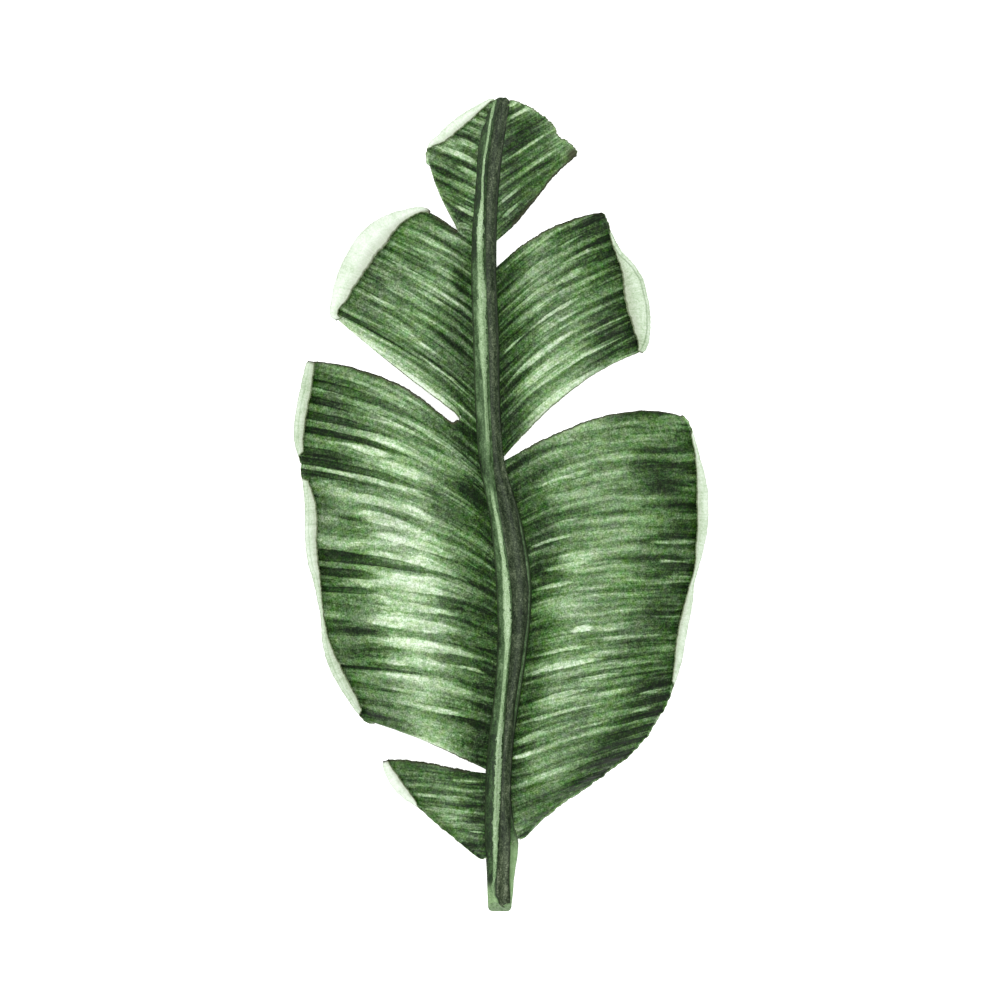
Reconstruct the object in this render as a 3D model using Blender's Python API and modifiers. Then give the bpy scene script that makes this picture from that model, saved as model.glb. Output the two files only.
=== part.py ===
"""A torn banana leaf, cut at the petiole and laid face up on a flat surface.

Sizes are millimetres and become metres in the meshes. +Y runs from the cut petiole to
the tip, +X to the right as the leaf is looked down on, and +Z up. The origin is on the
surface, under the middle of the leaf's outline.
"""
import math
from dataclasses import dataclass

import bmesh
import bpy
import numpy as np

MM = 0.001

# Leaf as a whole
TIP_Y = 406.5
CUT_Y = -407.5
BLADE_THICKNESS = 0.8

# Midrib: its middle line, width and depth at stations along Y
MIDRIB_STATIONS = (-407, -375, -322, -241, -190, -139, -78, -15, 45, 91, 167, 243, 327, 365, 407)
MIDRIB_MIDDLE = (0, 0.5, -2.5, 0, 6.5, 12, 13, 5, -9, -12.5, -14.5, -17, -12.5, -8.5, 0.5)
MIDRIB_WIDTH = (25, 28, 27, 26, 27, 31, 36, 32, 26, 26, 27, 26, 24, 25, 17)
MIDRIB_DEPTH = (17, 17, 16, 15.5, 15, 15, 14.5, 14, 13, 12.5, 11, 9, 7, 6, 4.5)
MIDRIB_PITCH = 21.0
CUT_LEAN = 11.0
# Its section, in widths across from the middle and depths up from the flat keel
MIDRIB_SECTION = (
    (-0.50, 0.72), (-0.42, 0.90), (-0.28, 1.00), (-0.10, 0.98), (0.00, 0.80), (0.12, 0.67),
    (0.26, 0.70), (0.38, 0.92), (0.45, 0.97), (0.50, 0.76), (0.45, 0.42), (0.32, 0.13),
    (0.16, 0.00), (-0.16, 0.00), (-0.32, 0.13), (-0.45, 0.42),
)
# The upper end of the keel leaves the surface
LIFT_FROM_Y = 70.0
LIFT_AT_TIP = 22.0

# Where the blade grows from the midrib: how far in, in widths, and how high, in depths
ROOT_BITE = 0.15
ROOT_DEPTH = 0.58
SHOULDER_DEPTH = 0.72
# Most of a short row that the bite and the web may take
BITE_LIMIT = 0.3
WEB_LIMIT = 0.4

# Blade: two grid rows to a pleat between lateral veins
PLEAT_PITCH = 17.5
PLEAT_HEIGHT = 2.6
WING_COLUMNS = 6
CREST_AT = 0.42
FULL_WING = 130.0
DROOP_WING = 90.0
WAVE_LENGTH = 165.0

# Rolled rim
RIM_STEPS = 3
RIM_RADIUS = 1.7
RIM_SWELL = 0.11
RIM_TURN = math.radians(172)
RIM_FULL_WIDTH = 5.0
RIM_LEAST_ARC = 2.2
RIM_LEAST_FLAP = 0.9
RIM_SHARE = 0.28
RIM_EASE = 0.3
MARGIN_REACH = 0.08


@dataclass
class Lobe:
    """One stretch of blade between two tears; pairs and triples run from petiole to tip."""
    name: str
    side: int           # -1 left, +1 right of the midrib
    root: tuple         # Y on the midrib where the lobe starts and ends
    leaving: tuple      # slope of the lateral veins at the midrib, degrees towards the tip
    arriving: tuple     # their slope at the margin
    margin: tuple       # plan points of the margin
    rim: tuple          # (share of the margin, visible width of the rolled rim)
    crest: tuple        # rise of the wing's crest above the midrib's shoulder
    edge: tuple         # height of the margin over the surface
    wave: float         # height of the margin's waves
    web: tuple          # length of blade along a vein that stays joined over a tear


LEFT_BASE = Lobe(
    name="left_base", side=-1, root=(-355, -268), leaving=(20, 12, 6), arriving=(25, 5, 4),
    margin=((-20, -353), (-40, -339), (-62.5, -322.5), (-87.5, -298.5), (-105, -275), (-119, -257)),
    rim=((0, 0), (0.5, 1), (0.62, 11), (0.8, 8), (0.93, 10), (1, 2)),
    crest=(10, 16), edge=(4, 7), wave=2, web=(10, 22))
LEFT_MAIN = Lobe(
    name="left_main", side=-1, root=(-266, 70), leaving=(30, 34, 36), arriving=(14, 4, 3),
    margin=((-135.5, -214.5), (-155.5, -190.5), (-170, -166), (-177.5, -142), (-180, -116),
            (-187.5, -82), (-194.5, -50), (-196, -20), (-198, 8), (-201, 34), (-206.5, 52),
            (-207.5, 74), (-202, 108), (-197, 145)),
    rim=((0, 1), (0.07, 4), (0.12, 9), (0.17, 7), (0.21, 9), (0.26, 2), (0.31, 2), (0.38, 7),
         (0.46, 10), (0.53, 14), (0.6, 12), (0.66, 7), (0.7, 2.5), (0.74, 8), (0.8, 12),
         (0.9, 11), (1, 8)),
    crest=(26, 31), edge=(0, 0), wave=4, web=(22, 25))
LEFT_UPPER = Lobe(
    name="left_upper", side=-1, root=(70, 257), leaving=(41, 38, 48), arriving=(37, 30, 24),
    margin=((-167, 184.5), (-171.5, 193), (-169.5, 206), (-163.5, 229.5), (-152.5, 257.5),
            (-136.5, 277.5), (-117.5, 289.5), (-97, 296.5), (-75.5, 297.5)),
    rim=((0, 1), (0.08, 10), (0.25, 21), (0.45, 24), (0.65, 21), (0.85, 12), (1, 2)),
    crest=(27, 20), edge=(14, 9), wave=2, web=(25, 30))
LEFT_TIP = Lobe(
    name="left_tip", side=-1, root=(257, 398), leaving=(43, 36, 50), arriving=(75, 34, 78),
    margin=((-74, 345), (-73.5, 357), (-62, 371.5), (-46.5, 385.5), (-28.5, 397.5), (-8, 407)),
    rim=((0, 1), (0.15, 7), (0.4, 17), (0.6, 17), (0.85, 10), (1, 1)),
    crest=(13, 3), edge=(10, 19), wave=0, web=(30, 8))
RIGHT_MAIN = Lobe(
    name="right_main", side=1, root=(-341, 43), leaving=(25, 24, 38), arriving=(25, -4, -18),
    margin=((21, -335), (43, -315), (63.5, -298.5), (96.5, -274.5), (132.5, -250.5), (152, -226),
            (170.5, -200), (177, -166.5), (185.5, -130.5), (194, -94.5), (202, -58.5), (207.5, -30),
            (207.5, 3), (202.5, 37.5), (195, 63), (185, 86)),
    rim=((0, 0), (0.42, 1), (0.47, 4), (0.55, 10), (0.6, 9), (0.7, 6), (0.76, 4), (0.83, 9),
         (0.89, 10), (0.93, 4), (1, 1.5)),
    crest=(22, 30), edge=(0, 0), wave=4, web=(10, 24))
RIGHT_UPPER = Lobe(
    name="right_upper", side=1, root=(45, 234.5), leaving=(50, 46, 43), arriving=(20, 17, 10),
    margin=((145, 151), (149, 170), (150.5, 187.5), (148, 206), (143.5, 229), (134.5, 242),
            (119, 265), (104, 294)),
    rim=((0, 1.5), (0.12, 9), (0.3, 18), (0.5, 21), (0.62, 22), (0.78, 6), (0.86, 2), (1, 1)),
    crest=(27, 21), edge=(8, 13), wave=3, web=(25, 25))
RIGHT_TIP = Lobe(
    name="right_tip", side=1, root=(262, 398), leaving=(33, 33, 50), arriving=(38, 30, 78),
    margin=((77.5, 350.5), (71.5, 361.5), (55.5, 377), (44.5, 389.5), (31.5, 398.5), (8, 407.5)),
    rim=((0, 0), (1, 0)),
    crest=(13, 3), edge=(12, 19), wave=0, web=(24, 8))

# Lobes in one entry keep a web of blade between them beside the midrib
BLADES = ((LEFT_BASE,), (LEFT_MAIN, LEFT_UPPER, LEFT_TIP), (RIGHT_MAIN,), (RIGHT_UPPER,), (RIGHT_TIP,))


def through(stations, values, at):
    """Values at new stations on a smooth curve through the given ones."""
    stations, values = np.asarray(stations, float), np.asarray(values, float)
    slopes = np.gradient(values, stations, axis=0)
    at = min(max(at, stations[0]), stations[-1])
    i = min(int(np.searchsorted(stations, at, side="right")) - 1, len(stations) - 2)
    gap = stations[i + 1] - stations[i]
    leave, arrive = slopes[i] * gap, slopes[i + 1] * gap
    return hermite(values[i], values[i + 1], leave, arrive, (at - stations[i]) / gap)


def hermite(start, end, leave, arrive, t):
    """Point on the cubic from start to end with the given end tangents."""
    return ((2 * t**3 - 3 * t**2 + 1) * start + (t**3 - 2 * t**2 + t) * leave
            + (3 * t**2 - 2 * t**3) * end + (t**3 - t**2) * arrive)


def along(pair, share):
    """Value between the two ends of a lobe."""
    return pair[0] + (pair[1] - pair[0]) * share


def ease(x):
    """Smooth step from 0 to 1."""
    x = min(max(x, 0.0), 1.0)
    return x * x * (3 - 2 * x)


def midrib_at(y):
    """Middle X, width, depth and keel height of the midrib."""
    middle = through(MIDRIB_STATIONS, MIDRIB_MIDDLE, y)
    width = through(MIDRIB_STATIONS, MIDRIB_WIDTH, y)
    depth = through(MIDRIB_STATIONS, MIDRIB_DEPTH, y)
    keel = LIFT_AT_TIP * max(0.0, (y - LIFT_FROM_Y) / (TIP_Y - LIFT_FROM_Y)) ** 2
    return middle, width, depth, keel


def margin_at(lobe, share):
    """Plan point of the margin and its outward direction."""
    points = np.asarray(lobe.margin, float)
    run = np.concatenate(([0], np.cumsum(np.linalg.norm(np.diff(points, axis=0), axis=1))))
    run /= run[-1]
    tangent = through(run, points, share + MARGIN_REACH) - through(run, points, share - MARGIN_REACH)
    outward = np.array((tangent[1], -tangent[0])) * lobe.side
    return through(run, points, share), outward / np.linalg.norm(outward)


def heading(lobe, slopes, share):
    """Plan direction of a lateral vein, from its slopes at the start, middle and end of the lobe."""
    angle = math.radians(through((0, 0.5, 1), slopes, share))
    return np.array((lobe.side * math.cos(angle), math.sin(angle)))


def rim_profile(width, rolled, droop):
    """Side view of the rim as (outward, up) steps from the last flat column.

    The blade arrives sloping down by droop, turns up and over, and ends in a flap
    that lies back above the leaf. width is what shows of a full roll from above, and
    rolled is how far it has turned, from 0 to 1.
    """
    radius = RIM_RADIUS + RIM_SWELL * width
    turn = RIM_TURN * rolled
    arc = max(radius * turn, RIM_LEAST_ARC) / RIM_STEPS
    angles = turn * (np.arange(RIM_STEPS) + 0.5) / RIM_STEPS - droop
    flap = max(RIM_LEAST_FLAP, rolled**2 * (width - radius * (1 - math.sin(droop))) / math.cos(droop))
    steps = np.append(np.full(RIM_STEPS, arc), flap)
    angles = np.append(angles, turn - droop)
    return np.cumsum(steps * np.cos(angles)), np.cumsum(steps * np.sin(angles))


def rolled_rows(widths):
    """How far the rim has rolled over in each row, easing from row to row."""
    rolled = [ease(width / RIM_FULL_WIDTH) for width in widths]
    for order in (range(1, len(rolled)), range(len(rolled) - 2, -1, -1)):
        step = -order.step
        for i in order:
            rolled[i] = min(rolled[i], rolled[i + step] + RIM_EASE)
    return rolled


def wing_height(x, shoulder, crest, edge):
    """Arched side view of a wing, x from 0 at the midrib to 1 at the rim."""
    if x < CREST_AT:
        return shoulder + (crest - shoulder) * math.sin(math.pi / 2 * x / CREST_AT)
    return edge + (crest - edge) * math.cos(math.pi / 2 * (x - CREST_AT) / (1 - CREST_AT))


def lobe_rows(lobe):
    """Middle surface of a lobe: one row of points along each ridge and furrow of its pleats."""
    count = 2 * round((lobe.root[1] - lobe.root[0]) / PLEAT_PITCH)
    shares = [index / count for index in range(count + 1)]
    widths = [max(0.0, through(*zip(*lobe.rim), share)) for share in shares]
    rows = []
    for index, (share, shows, rolled) in enumerate(zip(shares, widths, rolled_rows(widths))):
        y = along(lobe.root, share)
        middle, width, depth, keel = midrib_at(y)
        root = np.array((middle + lobe.side * width * (0.5 - ROOT_BITE), y))
        tip, outward = margin_at(lobe, share)
        length = np.linalg.norm(tip - root)
        shoulder = keel + SHOULDER_DEPTH * depth
        crest = shoulder + along(lobe.crest, share) * min(1.0, length / FULL_WING)
        wave = lobe.wave * (1 + math.sin(2 * math.pi * tip[1] / WAVE_LENGTH + lobe.side)) / 2
        edge = shoulder + (along(lobe.edge, share) + wave - shoulder) * min(1.0, length / DROOP_WING)
        droop = math.atan((crest - edge) * math.pi / 2 / (1 - CREST_AT) / length)
        out, up = rim_profile(min(shows, RIM_SHARE * length), rolled, droop)
        edge += BLADE_THICKNESS / 2 - min(0.0, up.min())
        base = tip - outward * out.max()
        leave, arrive = [length * heading(lobe, slopes, share) for slopes in (lobe.leaving, lobe.arriving)]
        web = min(along(lobe.web, share) / length, WEB_LIMIT)
        bite = min(width * ROOT_BITE / length, BITE_LIMIT)
        row = [(*root, keel + ROOT_DEPTH * depth)]
        for t in np.linspace(web, 1.0, WING_COLUMNS + 1):
            pleat = PLEAT_HEIGHT / 2 * math.sin(math.pi * t) * (-1) ** index
            height = wing_height((t - bite) / (1 - bite), shoulder, crest, edge)
            row.append((*hermite(root, base, leave, arrive, t), height + pleat))
        for o, u in zip(out, up):
            row.append((*(base + outward * o), edge + u))
        rows.append(row)
    return np.array(rows)


def paint(mesh, name, colour, roughness):
    """Give a mesh its own plain material."""
    material = bpy.data.materials.new(name)
    material.use_nodes = True
    shader = material.node_tree.nodes["Principled BSDF"]
    shader.inputs["Base Color"].default_value = (*colour, 1)
    shader.inputs["Roughness"].default_value = roughness
    shader.inputs["Metallic"].default_value = 0.0
    mesh.materials.append(material)


def blade(lobes, collection):
    """Closed blade of one or more lobes, joined over the webs beside the midrib."""
    bm = bmesh.new()
    last = None
    for lobe in lobes:
        rows = lobe_rows(lobe)
        if last is not None:
            rows[0, :2] = last[-1, :2]
        last = rows
        high, wide = rows.shape[:2]
        verts = bmesh.ops.create_grid(bm, x_segments=wide - 1, y_segments=high - 1, size=1)["verts"]
        for vert in verts:
            column = round((vert.co.x + 1) / 2 * (wide - 1))
            row = round((vert.co.y + 1) / 2 * (high - 1))
            vert.co = rows[row, column] * MM
    bmesh.ops.remove_doubles(bm, verts=bm.verts, dist=1e-6)
    bmesh.ops.recalc_face_normals(bm, faces=bm.faces)
    bmesh.ops.triangulate(bm, faces=bm.faces, quad_method="SHORT_EDGE")
    mesh = bpy.data.meshes.new("blade_" + lobes[0].name)
    bm.to_mesh(mesh)
    bm.free()
    paint(mesh, "blade_green", (0.05, 0.13, 0.04), 0.5)
    obj = bpy.data.objects.new(mesh.name, mesh)
    collection.objects.link(obj)
    skin = obj.modifiers.new("thickness", "SOLIDIFY")
    skin.thickness = BLADE_THICKNESS * MM
    skin.offset = 0.0
    return obj


def midrib_ring(y, lean):
    """One cross section of the midrib; lean sets its top back on the cut end."""
    middle, width, depth, keel = midrib_at(y)
    return [(middle + across * width, y + lean * up, keel + up * depth) for across, up in MIDRIB_SECTION]


def midrib(collection):
    """Petiole and midrib: a channelled rib with a flat keel, tapering to the tip."""
    count = round((TIP_Y - CUT_Y) / MIDRIB_PITCH)
    stations = np.linspace(CUT_Y, TIP_Y, count + 1)
    rings = [midrib_ring(y, CUT_LEAN if y == CUT_Y else 0.0) for y in stations]
    around = len(MIDRIB_SECTION)
    bm = bmesh.new()
    verts = bmesh.ops.create_grid(bm, x_segments=around, y_segments=count, size=1)["verts"]
    for vert in verts:
        corner = round((vert.co.x + 1) / 2 * around) % around
        ring = round((vert.co.y + 1) / 2 * count)
        vert.co = [value * MM for value in rings[ring][corner]]
    bmesh.ops.remove_doubles(bm, verts=bm.verts, dist=1e-6)
    bmesh.ops.holes_fill(bm, edges=[edge for edge in bm.edges if edge.is_boundary], sides=0)
    bmesh.ops.recalc_face_normals(bm, faces=bm.faces)
    bmesh.ops.triangulate(bm, faces=bm.faces)
    mesh = bpy.data.meshes.new("midrib")
    bm.to_mesh(mesh)
    bm.free()
    paint(mesh, "midrib_green", (0.14, 0.24, 0.09), 0.45)
    obj = bpy.data.objects.new("midrib", mesh)
    collection.objects.link(obj)
    return obj


def banana_leaf():
    """Grow the blades out of the midrib in one solid."""
    leaf = bpy.data.collections.new("banana leaf")
    blades = bpy.data.collections.new("blades")
    for collection in (leaf, blades):
        bpy.context.scene.collection.children.link(collection)
    for lobes in BLADES:
        blade(lobes, blades)
    rib = midrib(leaf)
    union = rib.modifiers.new("blades", "BOOLEAN")
    union.operation = "UNION"
    union.operand_type = "COLLECTION"
    union.collection = blades
    union.solver = "EXACT"
    bpy.context.view_layer.update()
    mesh = bpy.data.meshes.new_from_object(rib.evaluated_get(bpy.context.evaluated_depsgraph_get()))
    for obj in [rib, *blades.objects]:
        bpy.data.objects.remove(obj)
    bpy.data.collections.remove(blades)
    mesh.name = "banana_leaf"
    obj = bpy.data.objects.new("banana_leaf", mesh)
    leaf.objects.link(obj)
    mesh.shade_smooth()
    mesh.set_sharp_from_angle(angle=math.radians(40))
    return obj


for old in list(bpy.data.objects):
    bpy.data.objects.remove(old)
banana_leaf()
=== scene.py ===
import math
from dataclasses import dataclass, fields

import bpy
import numpy as np
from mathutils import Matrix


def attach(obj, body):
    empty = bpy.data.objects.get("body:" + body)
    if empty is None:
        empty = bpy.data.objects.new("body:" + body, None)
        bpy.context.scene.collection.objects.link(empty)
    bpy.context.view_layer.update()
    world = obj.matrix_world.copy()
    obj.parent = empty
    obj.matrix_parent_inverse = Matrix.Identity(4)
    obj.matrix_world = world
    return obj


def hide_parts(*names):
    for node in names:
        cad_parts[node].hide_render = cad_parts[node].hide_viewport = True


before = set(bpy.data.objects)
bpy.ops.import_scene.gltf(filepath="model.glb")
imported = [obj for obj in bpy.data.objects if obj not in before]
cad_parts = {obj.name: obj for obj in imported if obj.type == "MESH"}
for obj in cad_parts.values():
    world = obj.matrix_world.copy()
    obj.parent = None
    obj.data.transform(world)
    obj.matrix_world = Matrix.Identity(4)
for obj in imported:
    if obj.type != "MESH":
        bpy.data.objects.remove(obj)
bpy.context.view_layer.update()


# The table that the leaf lies on, looked down on from straight above. A plain white
# board that glows faintly with painted light, so that the shadows on it fade, under one
# broad soft lamp overhead, with light from the room all round. Its sizes are in metres.
TABLE_SIZE = 60.0
TABLE_PAINT = (0.93, 0.93, 0.93)
TABLE_ROUGHNESS = 0.9
TABLE_SHEEN = 0.1
# The board's glow is painted light, which fades the shadows on it
TABLE_GLOW = 0.22
VIEW_CENTRE = (-0.0005, 0.0055)
VIEW_WIDTH = 1.0            # width in view at the next height over the table
VIEW_PLANE = 0.012
LENS = 120.0
FILM = 36.0
LAMP_AT = (-0.15, 0.2, 5.0)
LAMP_SIZE = 2.6
LAMP_WATTS = 364.0
ROOM_LIGHT = 0.846

half = TABLE_SIZE / 2
corners = [(-half, -half, 0), (half, -half, 0), (half, half, 0), (-half, half, 0)]
table_mesh = bpy.data.meshes.new("table")
table_mesh.from_pydata(corners, [], [(0, 1, 2, 3)])
table_paint = bpy.data.materials.new("table_paint")
table_paint.use_nodes = True
table_shader = table_paint.node_tree.nodes["Principled BSDF"]
for label, value in (("Base Color", (*TABLE_PAINT, 1)), ("Roughness", TABLE_ROUGHNESS),
                     ("Specular IOR Level", TABLE_SHEEN), ("Emission Color", (1, 1, 1, 1)),
                     ("Emission Strength", TABLE_GLOW)):
    table_shader.inputs[label].default_value = value
table_mesh.materials.append(table_paint)
table = bpy.data.objects.new("table", table_mesh)
bpy.context.scene.collection.objects.link(table)

lamp_data = bpy.data.lights.new("soft_lamp", "AREA")
lamp_data.size = LAMP_SIZE
lamp_data.energy = LAMP_WATTS
lamp = bpy.data.objects.new("soft_lamp", lamp_data)
lamp.location = LAMP_AT
lamp.rotation_euler = (math.atan2(-LAMP_AT[1], LAMP_AT[2]), math.atan2(LAMP_AT[0], LAMP_AT[2]), 0)
bpy.context.scene.collection.objects.link(lamp)

room = bpy.data.worlds.new("room")
room.use_nodes = True
room.node_tree.nodes["Background"].inputs["Color"].default_value = (1, 1, 1, 1)
room.node_tree.nodes["Background"].inputs["Strength"].default_value = ROOM_LIGHT
bpy.context.scene.world = room
bpy.context.scene.view_settings.view_transform = "Standard"

camera_data = bpy.data.cameras.new("view")
camera_data.lens = LENS
camera_data.sensor_width = FILM
camera = bpy.data.objects.new("view", camera_data)
camera.location = (*VIEW_CENTRE, VIEW_PLANE + VIEW_WIDTH * LENS / FILM)
bpy.context.scene.collection.objects.link(camera)
bpy.context.scene.camera = camera


# Midrib and petiole: one channelled rib of spongy green tissue, grown thick at the cut
# end and thin at the tip. Its upper face is a groove painted dark with shade beside a
# crest painted pale with a highlight, and its keel is pressed flat where the leaf lies on it.
MM = 0.001                  # sizes from here on are in millimetres, and metres in the meshes
LIT = 1.75                  # light that falls on the leaf, for colours given as the eye sees them
TIP_Y = 406.5
CUT_Y = -407.5
MIDRIB_STATIONS = (-407, -375, -322, -241, -190, -139, -78, -15, 45, 91, 167, 243, 327, 365, 407)
MIDRIB_MIDDLE = (0, 0.5, -2.5, 0, 6.5, 12, 13, 5, -9, -12.5, -14.5, -17, -12.5, -8.5, 2)
MIDRIB_WIDTH = (25, 28, 27, 26, 27, 31, 36, 32, 26, 26, 27, 26, 24, 25, 17)
MIDRIB_DEPTH = (17, 17, 16, 15.5, 15, 15, 14.5, 14, 13, 12.5, 11, 9, 7, 6, 4.5)
# Section of the rib, in widths across from the middle and depths up from the flat keel
MIDRIB_SECTION = (
    (-0.50, 0.72), (-0.42, 0.90), (-0.28, 1.00), (-0.10, 0.98), (0.00, 0.80), (0.12, 0.67),
    (0.26, 0.70), (0.38, 0.92), (0.45, 0.97), (0.50, 0.76), (0.45, 0.42), (0.32, 0.13),
    (0.16, 0.00), (-0.16, 0.00), (-0.32, 0.13), (-0.45, 0.42),
)
CUT_LEAN = 11.0             # how far the cut slopes towards the tip from keel to crest
CUT_CURVE = 1.7
CUT_HOLLOW = 0.5
CUT_UNEVEN = 0.5
CUT_RINGS = (0.94, 0.8, 0.6, 0.4, 0.2)
LIFT_FROM_Y = 70.0          # the keel leaves the table from here to the tip
LIFT_AT_TIP = 22.0
RING_PITCH = 2.5
STEPS_PER_CORNER = 8
UNEVEN_RISE = 0.25
TIP_ROUND = 7.0             # length over which the tip narrows, and by how much
TIP_TAPER = 0.8
# The crest line, pale with a painted highlight: Y, X of its middle, width and how pale it is
CREST_LINE = (
    (-400, -9.5, 2, 0.0), (-385, -9, 3, 0.35), (-374, -6.5, 2.5, 0.45), (-359, -5.5, 4, 0.5),
    (-344, -5, 4.5, 0.7), (-324, -5, 6, 0.8), (-294, -3.5, 6, 0.75), (-264, -2.5, 6.5, 0.8),
    (-234, -1, 6, 0.9), (-204, 1.5, 4.5, 0.6), (-174, 4, 3.5, 0.55), (-144, 6.5, 4.5, 0.75),
    (-114, 7, 8, 0.9), (-84, 6, 7, 0.8), (-54, 3, 4.5, 0.75), (-24, -1.5, 4, 0.7), (6, -7.5, 3.5, 0.6),
    (22, -9.2, 2.5, 0.1), (36, -10.5, 2, 0.0), (52, -11.8, 3, 0.15), (66, -12.5, 4, 0.6),
    (96, -14.5, 3.5, 0.65), (126, -15.7, 4, 0.7), (156, -17.5, 8, 0.7), (186, -18.5, 9, 0.7),
    (216, -19, 8, 0.8), (246, -20.5, 6, 0.5), (266, -20.5, 6.5, 0.8), (286, -20, 6, 0.9),
    (306, -18, 2.6, 0.7), (326, -18, 2.2, 0.65), (346, -16, 2.4, 0.65), (366, -12.5, 2.4, 0.6),
    (384, -10, 2.6, 0.6), (395, -7.5, 3.6, 0.5), (404, -6, 3.6, 0.4),
)
CREST_RISE = 0.6
CREST_FOOT = 1.6            # half widths from its middle where the crest has sunk to nothing
CREST_FULL_DEPTH = 12.0     # depth of rib from which the crest stands at its full height
# Where the petiole's right side flares out to meet the blade, or narrows to the cut: Y and how far
FLARE_SPREAD = 2.2
FLARE = ((-407, -1.5), (-375, -1.2), (-362, 1), (-350, 4), (-338, 6), (-325, 5), (-308, 1.5), (-292, 0))
# The groove, painted dark with shade: Y, and X of its left and right sides
GROOVE_LINE = (
    (-404, -1, 9.5), (-392, -4.5, 9.5), (-375, -4, 8.5), (-345, -2, 9.5), (-325, -1, 10),
    (-264, 1.5, 11.5), (-204, 5, 14), (-144, 10, 23), (-114, 12, 27), (-84, 11, 28.5), (-54, 7, 25),
    (-24, 2, 20), (6, -3, 15), (36, -7, 8), (96, -10, -0.5), (156, -12, -2), (216, -14, -4.5),
    (266, -15, -5), (306, -14.5, -3.5), (346, -12, 1), (386, -5.5, 7.5), (407, -2.5, 10),
)
# Stretches of Y where the colours of the flanks change, the lower end first
BASE_DIM = (-250.0, -190.0)
TIP_DIM = (215.0, 260.0)
DIM_BY = 0.34
COLLAR_ENDS = (-388.0, -374.0)
PETIOLE_ENDS = (-350.0, -325.0)
CELLS_PER_METRE = 420.0


def hermite(start, end, leave, arrive, t):
    """Point on the cubic from start to end with the given end tangents."""
    return ((2 * t**3 - 3 * t**2 + 1) * start + (t**3 - 2 * t**2 + t) * leave
            + (3 * t**2 - 2 * t**3) * end + (t**3 - t**2) * arrive)


def through(stations, values, at):
    """Value at a new station on a smooth curve through the given ones."""
    stations, values = np.asarray(stations, float), np.asarray(values, float)
    slopes = np.gradient(values, stations, axis=0)
    at = min(max(at, stations[0]), stations[-1])
    i = min(int(np.searchsorted(stations, at, side="right")) - 1, len(stations) - 2)
    gap = stations[i + 1] - stations[i]
    leave, arrive = slopes[i] * gap, slopes[i + 1] * gap
    return hermite(values[i], values[i + 1], leave, arrive, (at - stations[i]) / gap)


def midrib_at(y):
    """Middle X, width, depth and keel height of the midrib."""
    middle = through(MIDRIB_STATIONS, MIDRIB_MIDDLE, y)
    width = through(MIDRIB_STATIONS, MIDRIB_WIDTH, y)
    depth = through(MIDRIB_STATIONS, MIDRIB_DEPTH, y)
    keel = LIFT_AT_TIP * max(0.0, (y - LIFT_FROM_Y) / (TIP_Y - LIFT_FROM_Y)) ** 2
    return middle, width, depth, keel


def section_outline():
    """The section with its corners rounded, as (across, up) points."""
    corners = np.array(MIDRIB_SECTION)
    points = []
    for i in range(len(corners)):
        before, here, after, beyond = (corners[(i + k) % len(corners)] for k in (-1, 0, 1, 2))
        for t in np.arange(STEPS_PER_CORNER) / STEPS_PER_CORNER:
            points.append(hermite(here, after, (after - before) / 2, (beyond - here) / 2, t))
    points = np.array(points)
    points[:, 1] = np.maximum(points[:, 1], 0.0)
    return points


def ease(x):
    """Smooth step from 0 to 1."""
    x = np.clip(x, 0.0, 1.0)
    return x * x * (3 - 2 * x)


def ripple(*phases):
    """Smooth unevenness between -1 and 1, the same each time for the same phases."""
    total = 0.0
    for i, phase in enumerate(phases):
        total = total + np.sin(phase + 1.3 * i) * np.sin(0.618 * phase + 2.1 + i)
    return total / len(phases)


def sheet_mesh(name, points, faces, numbers=None, edges=()):
    """Mesh in metres from points in millimetres, with named numbers on its points."""
    mesh = bpy.data.meshes.new(name)
    mesh.from_pydata((np.asarray(points) * MM).tolist(), edges, faces)
    for label, values in (numbers or {}).items():
        values = np.asarray(values, np.float32).ravel()
        mesh.attributes.new(label, "FLOAT", "POINT").data.foreach_set("value", values)
    mesh.shade_smooth()
    return mesh


def leaf_object(mesh):
    """An object of a finished mesh, at the origin."""
    obj = bpy.data.objects.new(mesh.name, mesh)
    bpy.context.scene.collection.objects.link(obj)
    return obj


def on_leaf(obj):
    """A piece that is part of the one grown leaf."""
    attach(obj, "root")


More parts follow.
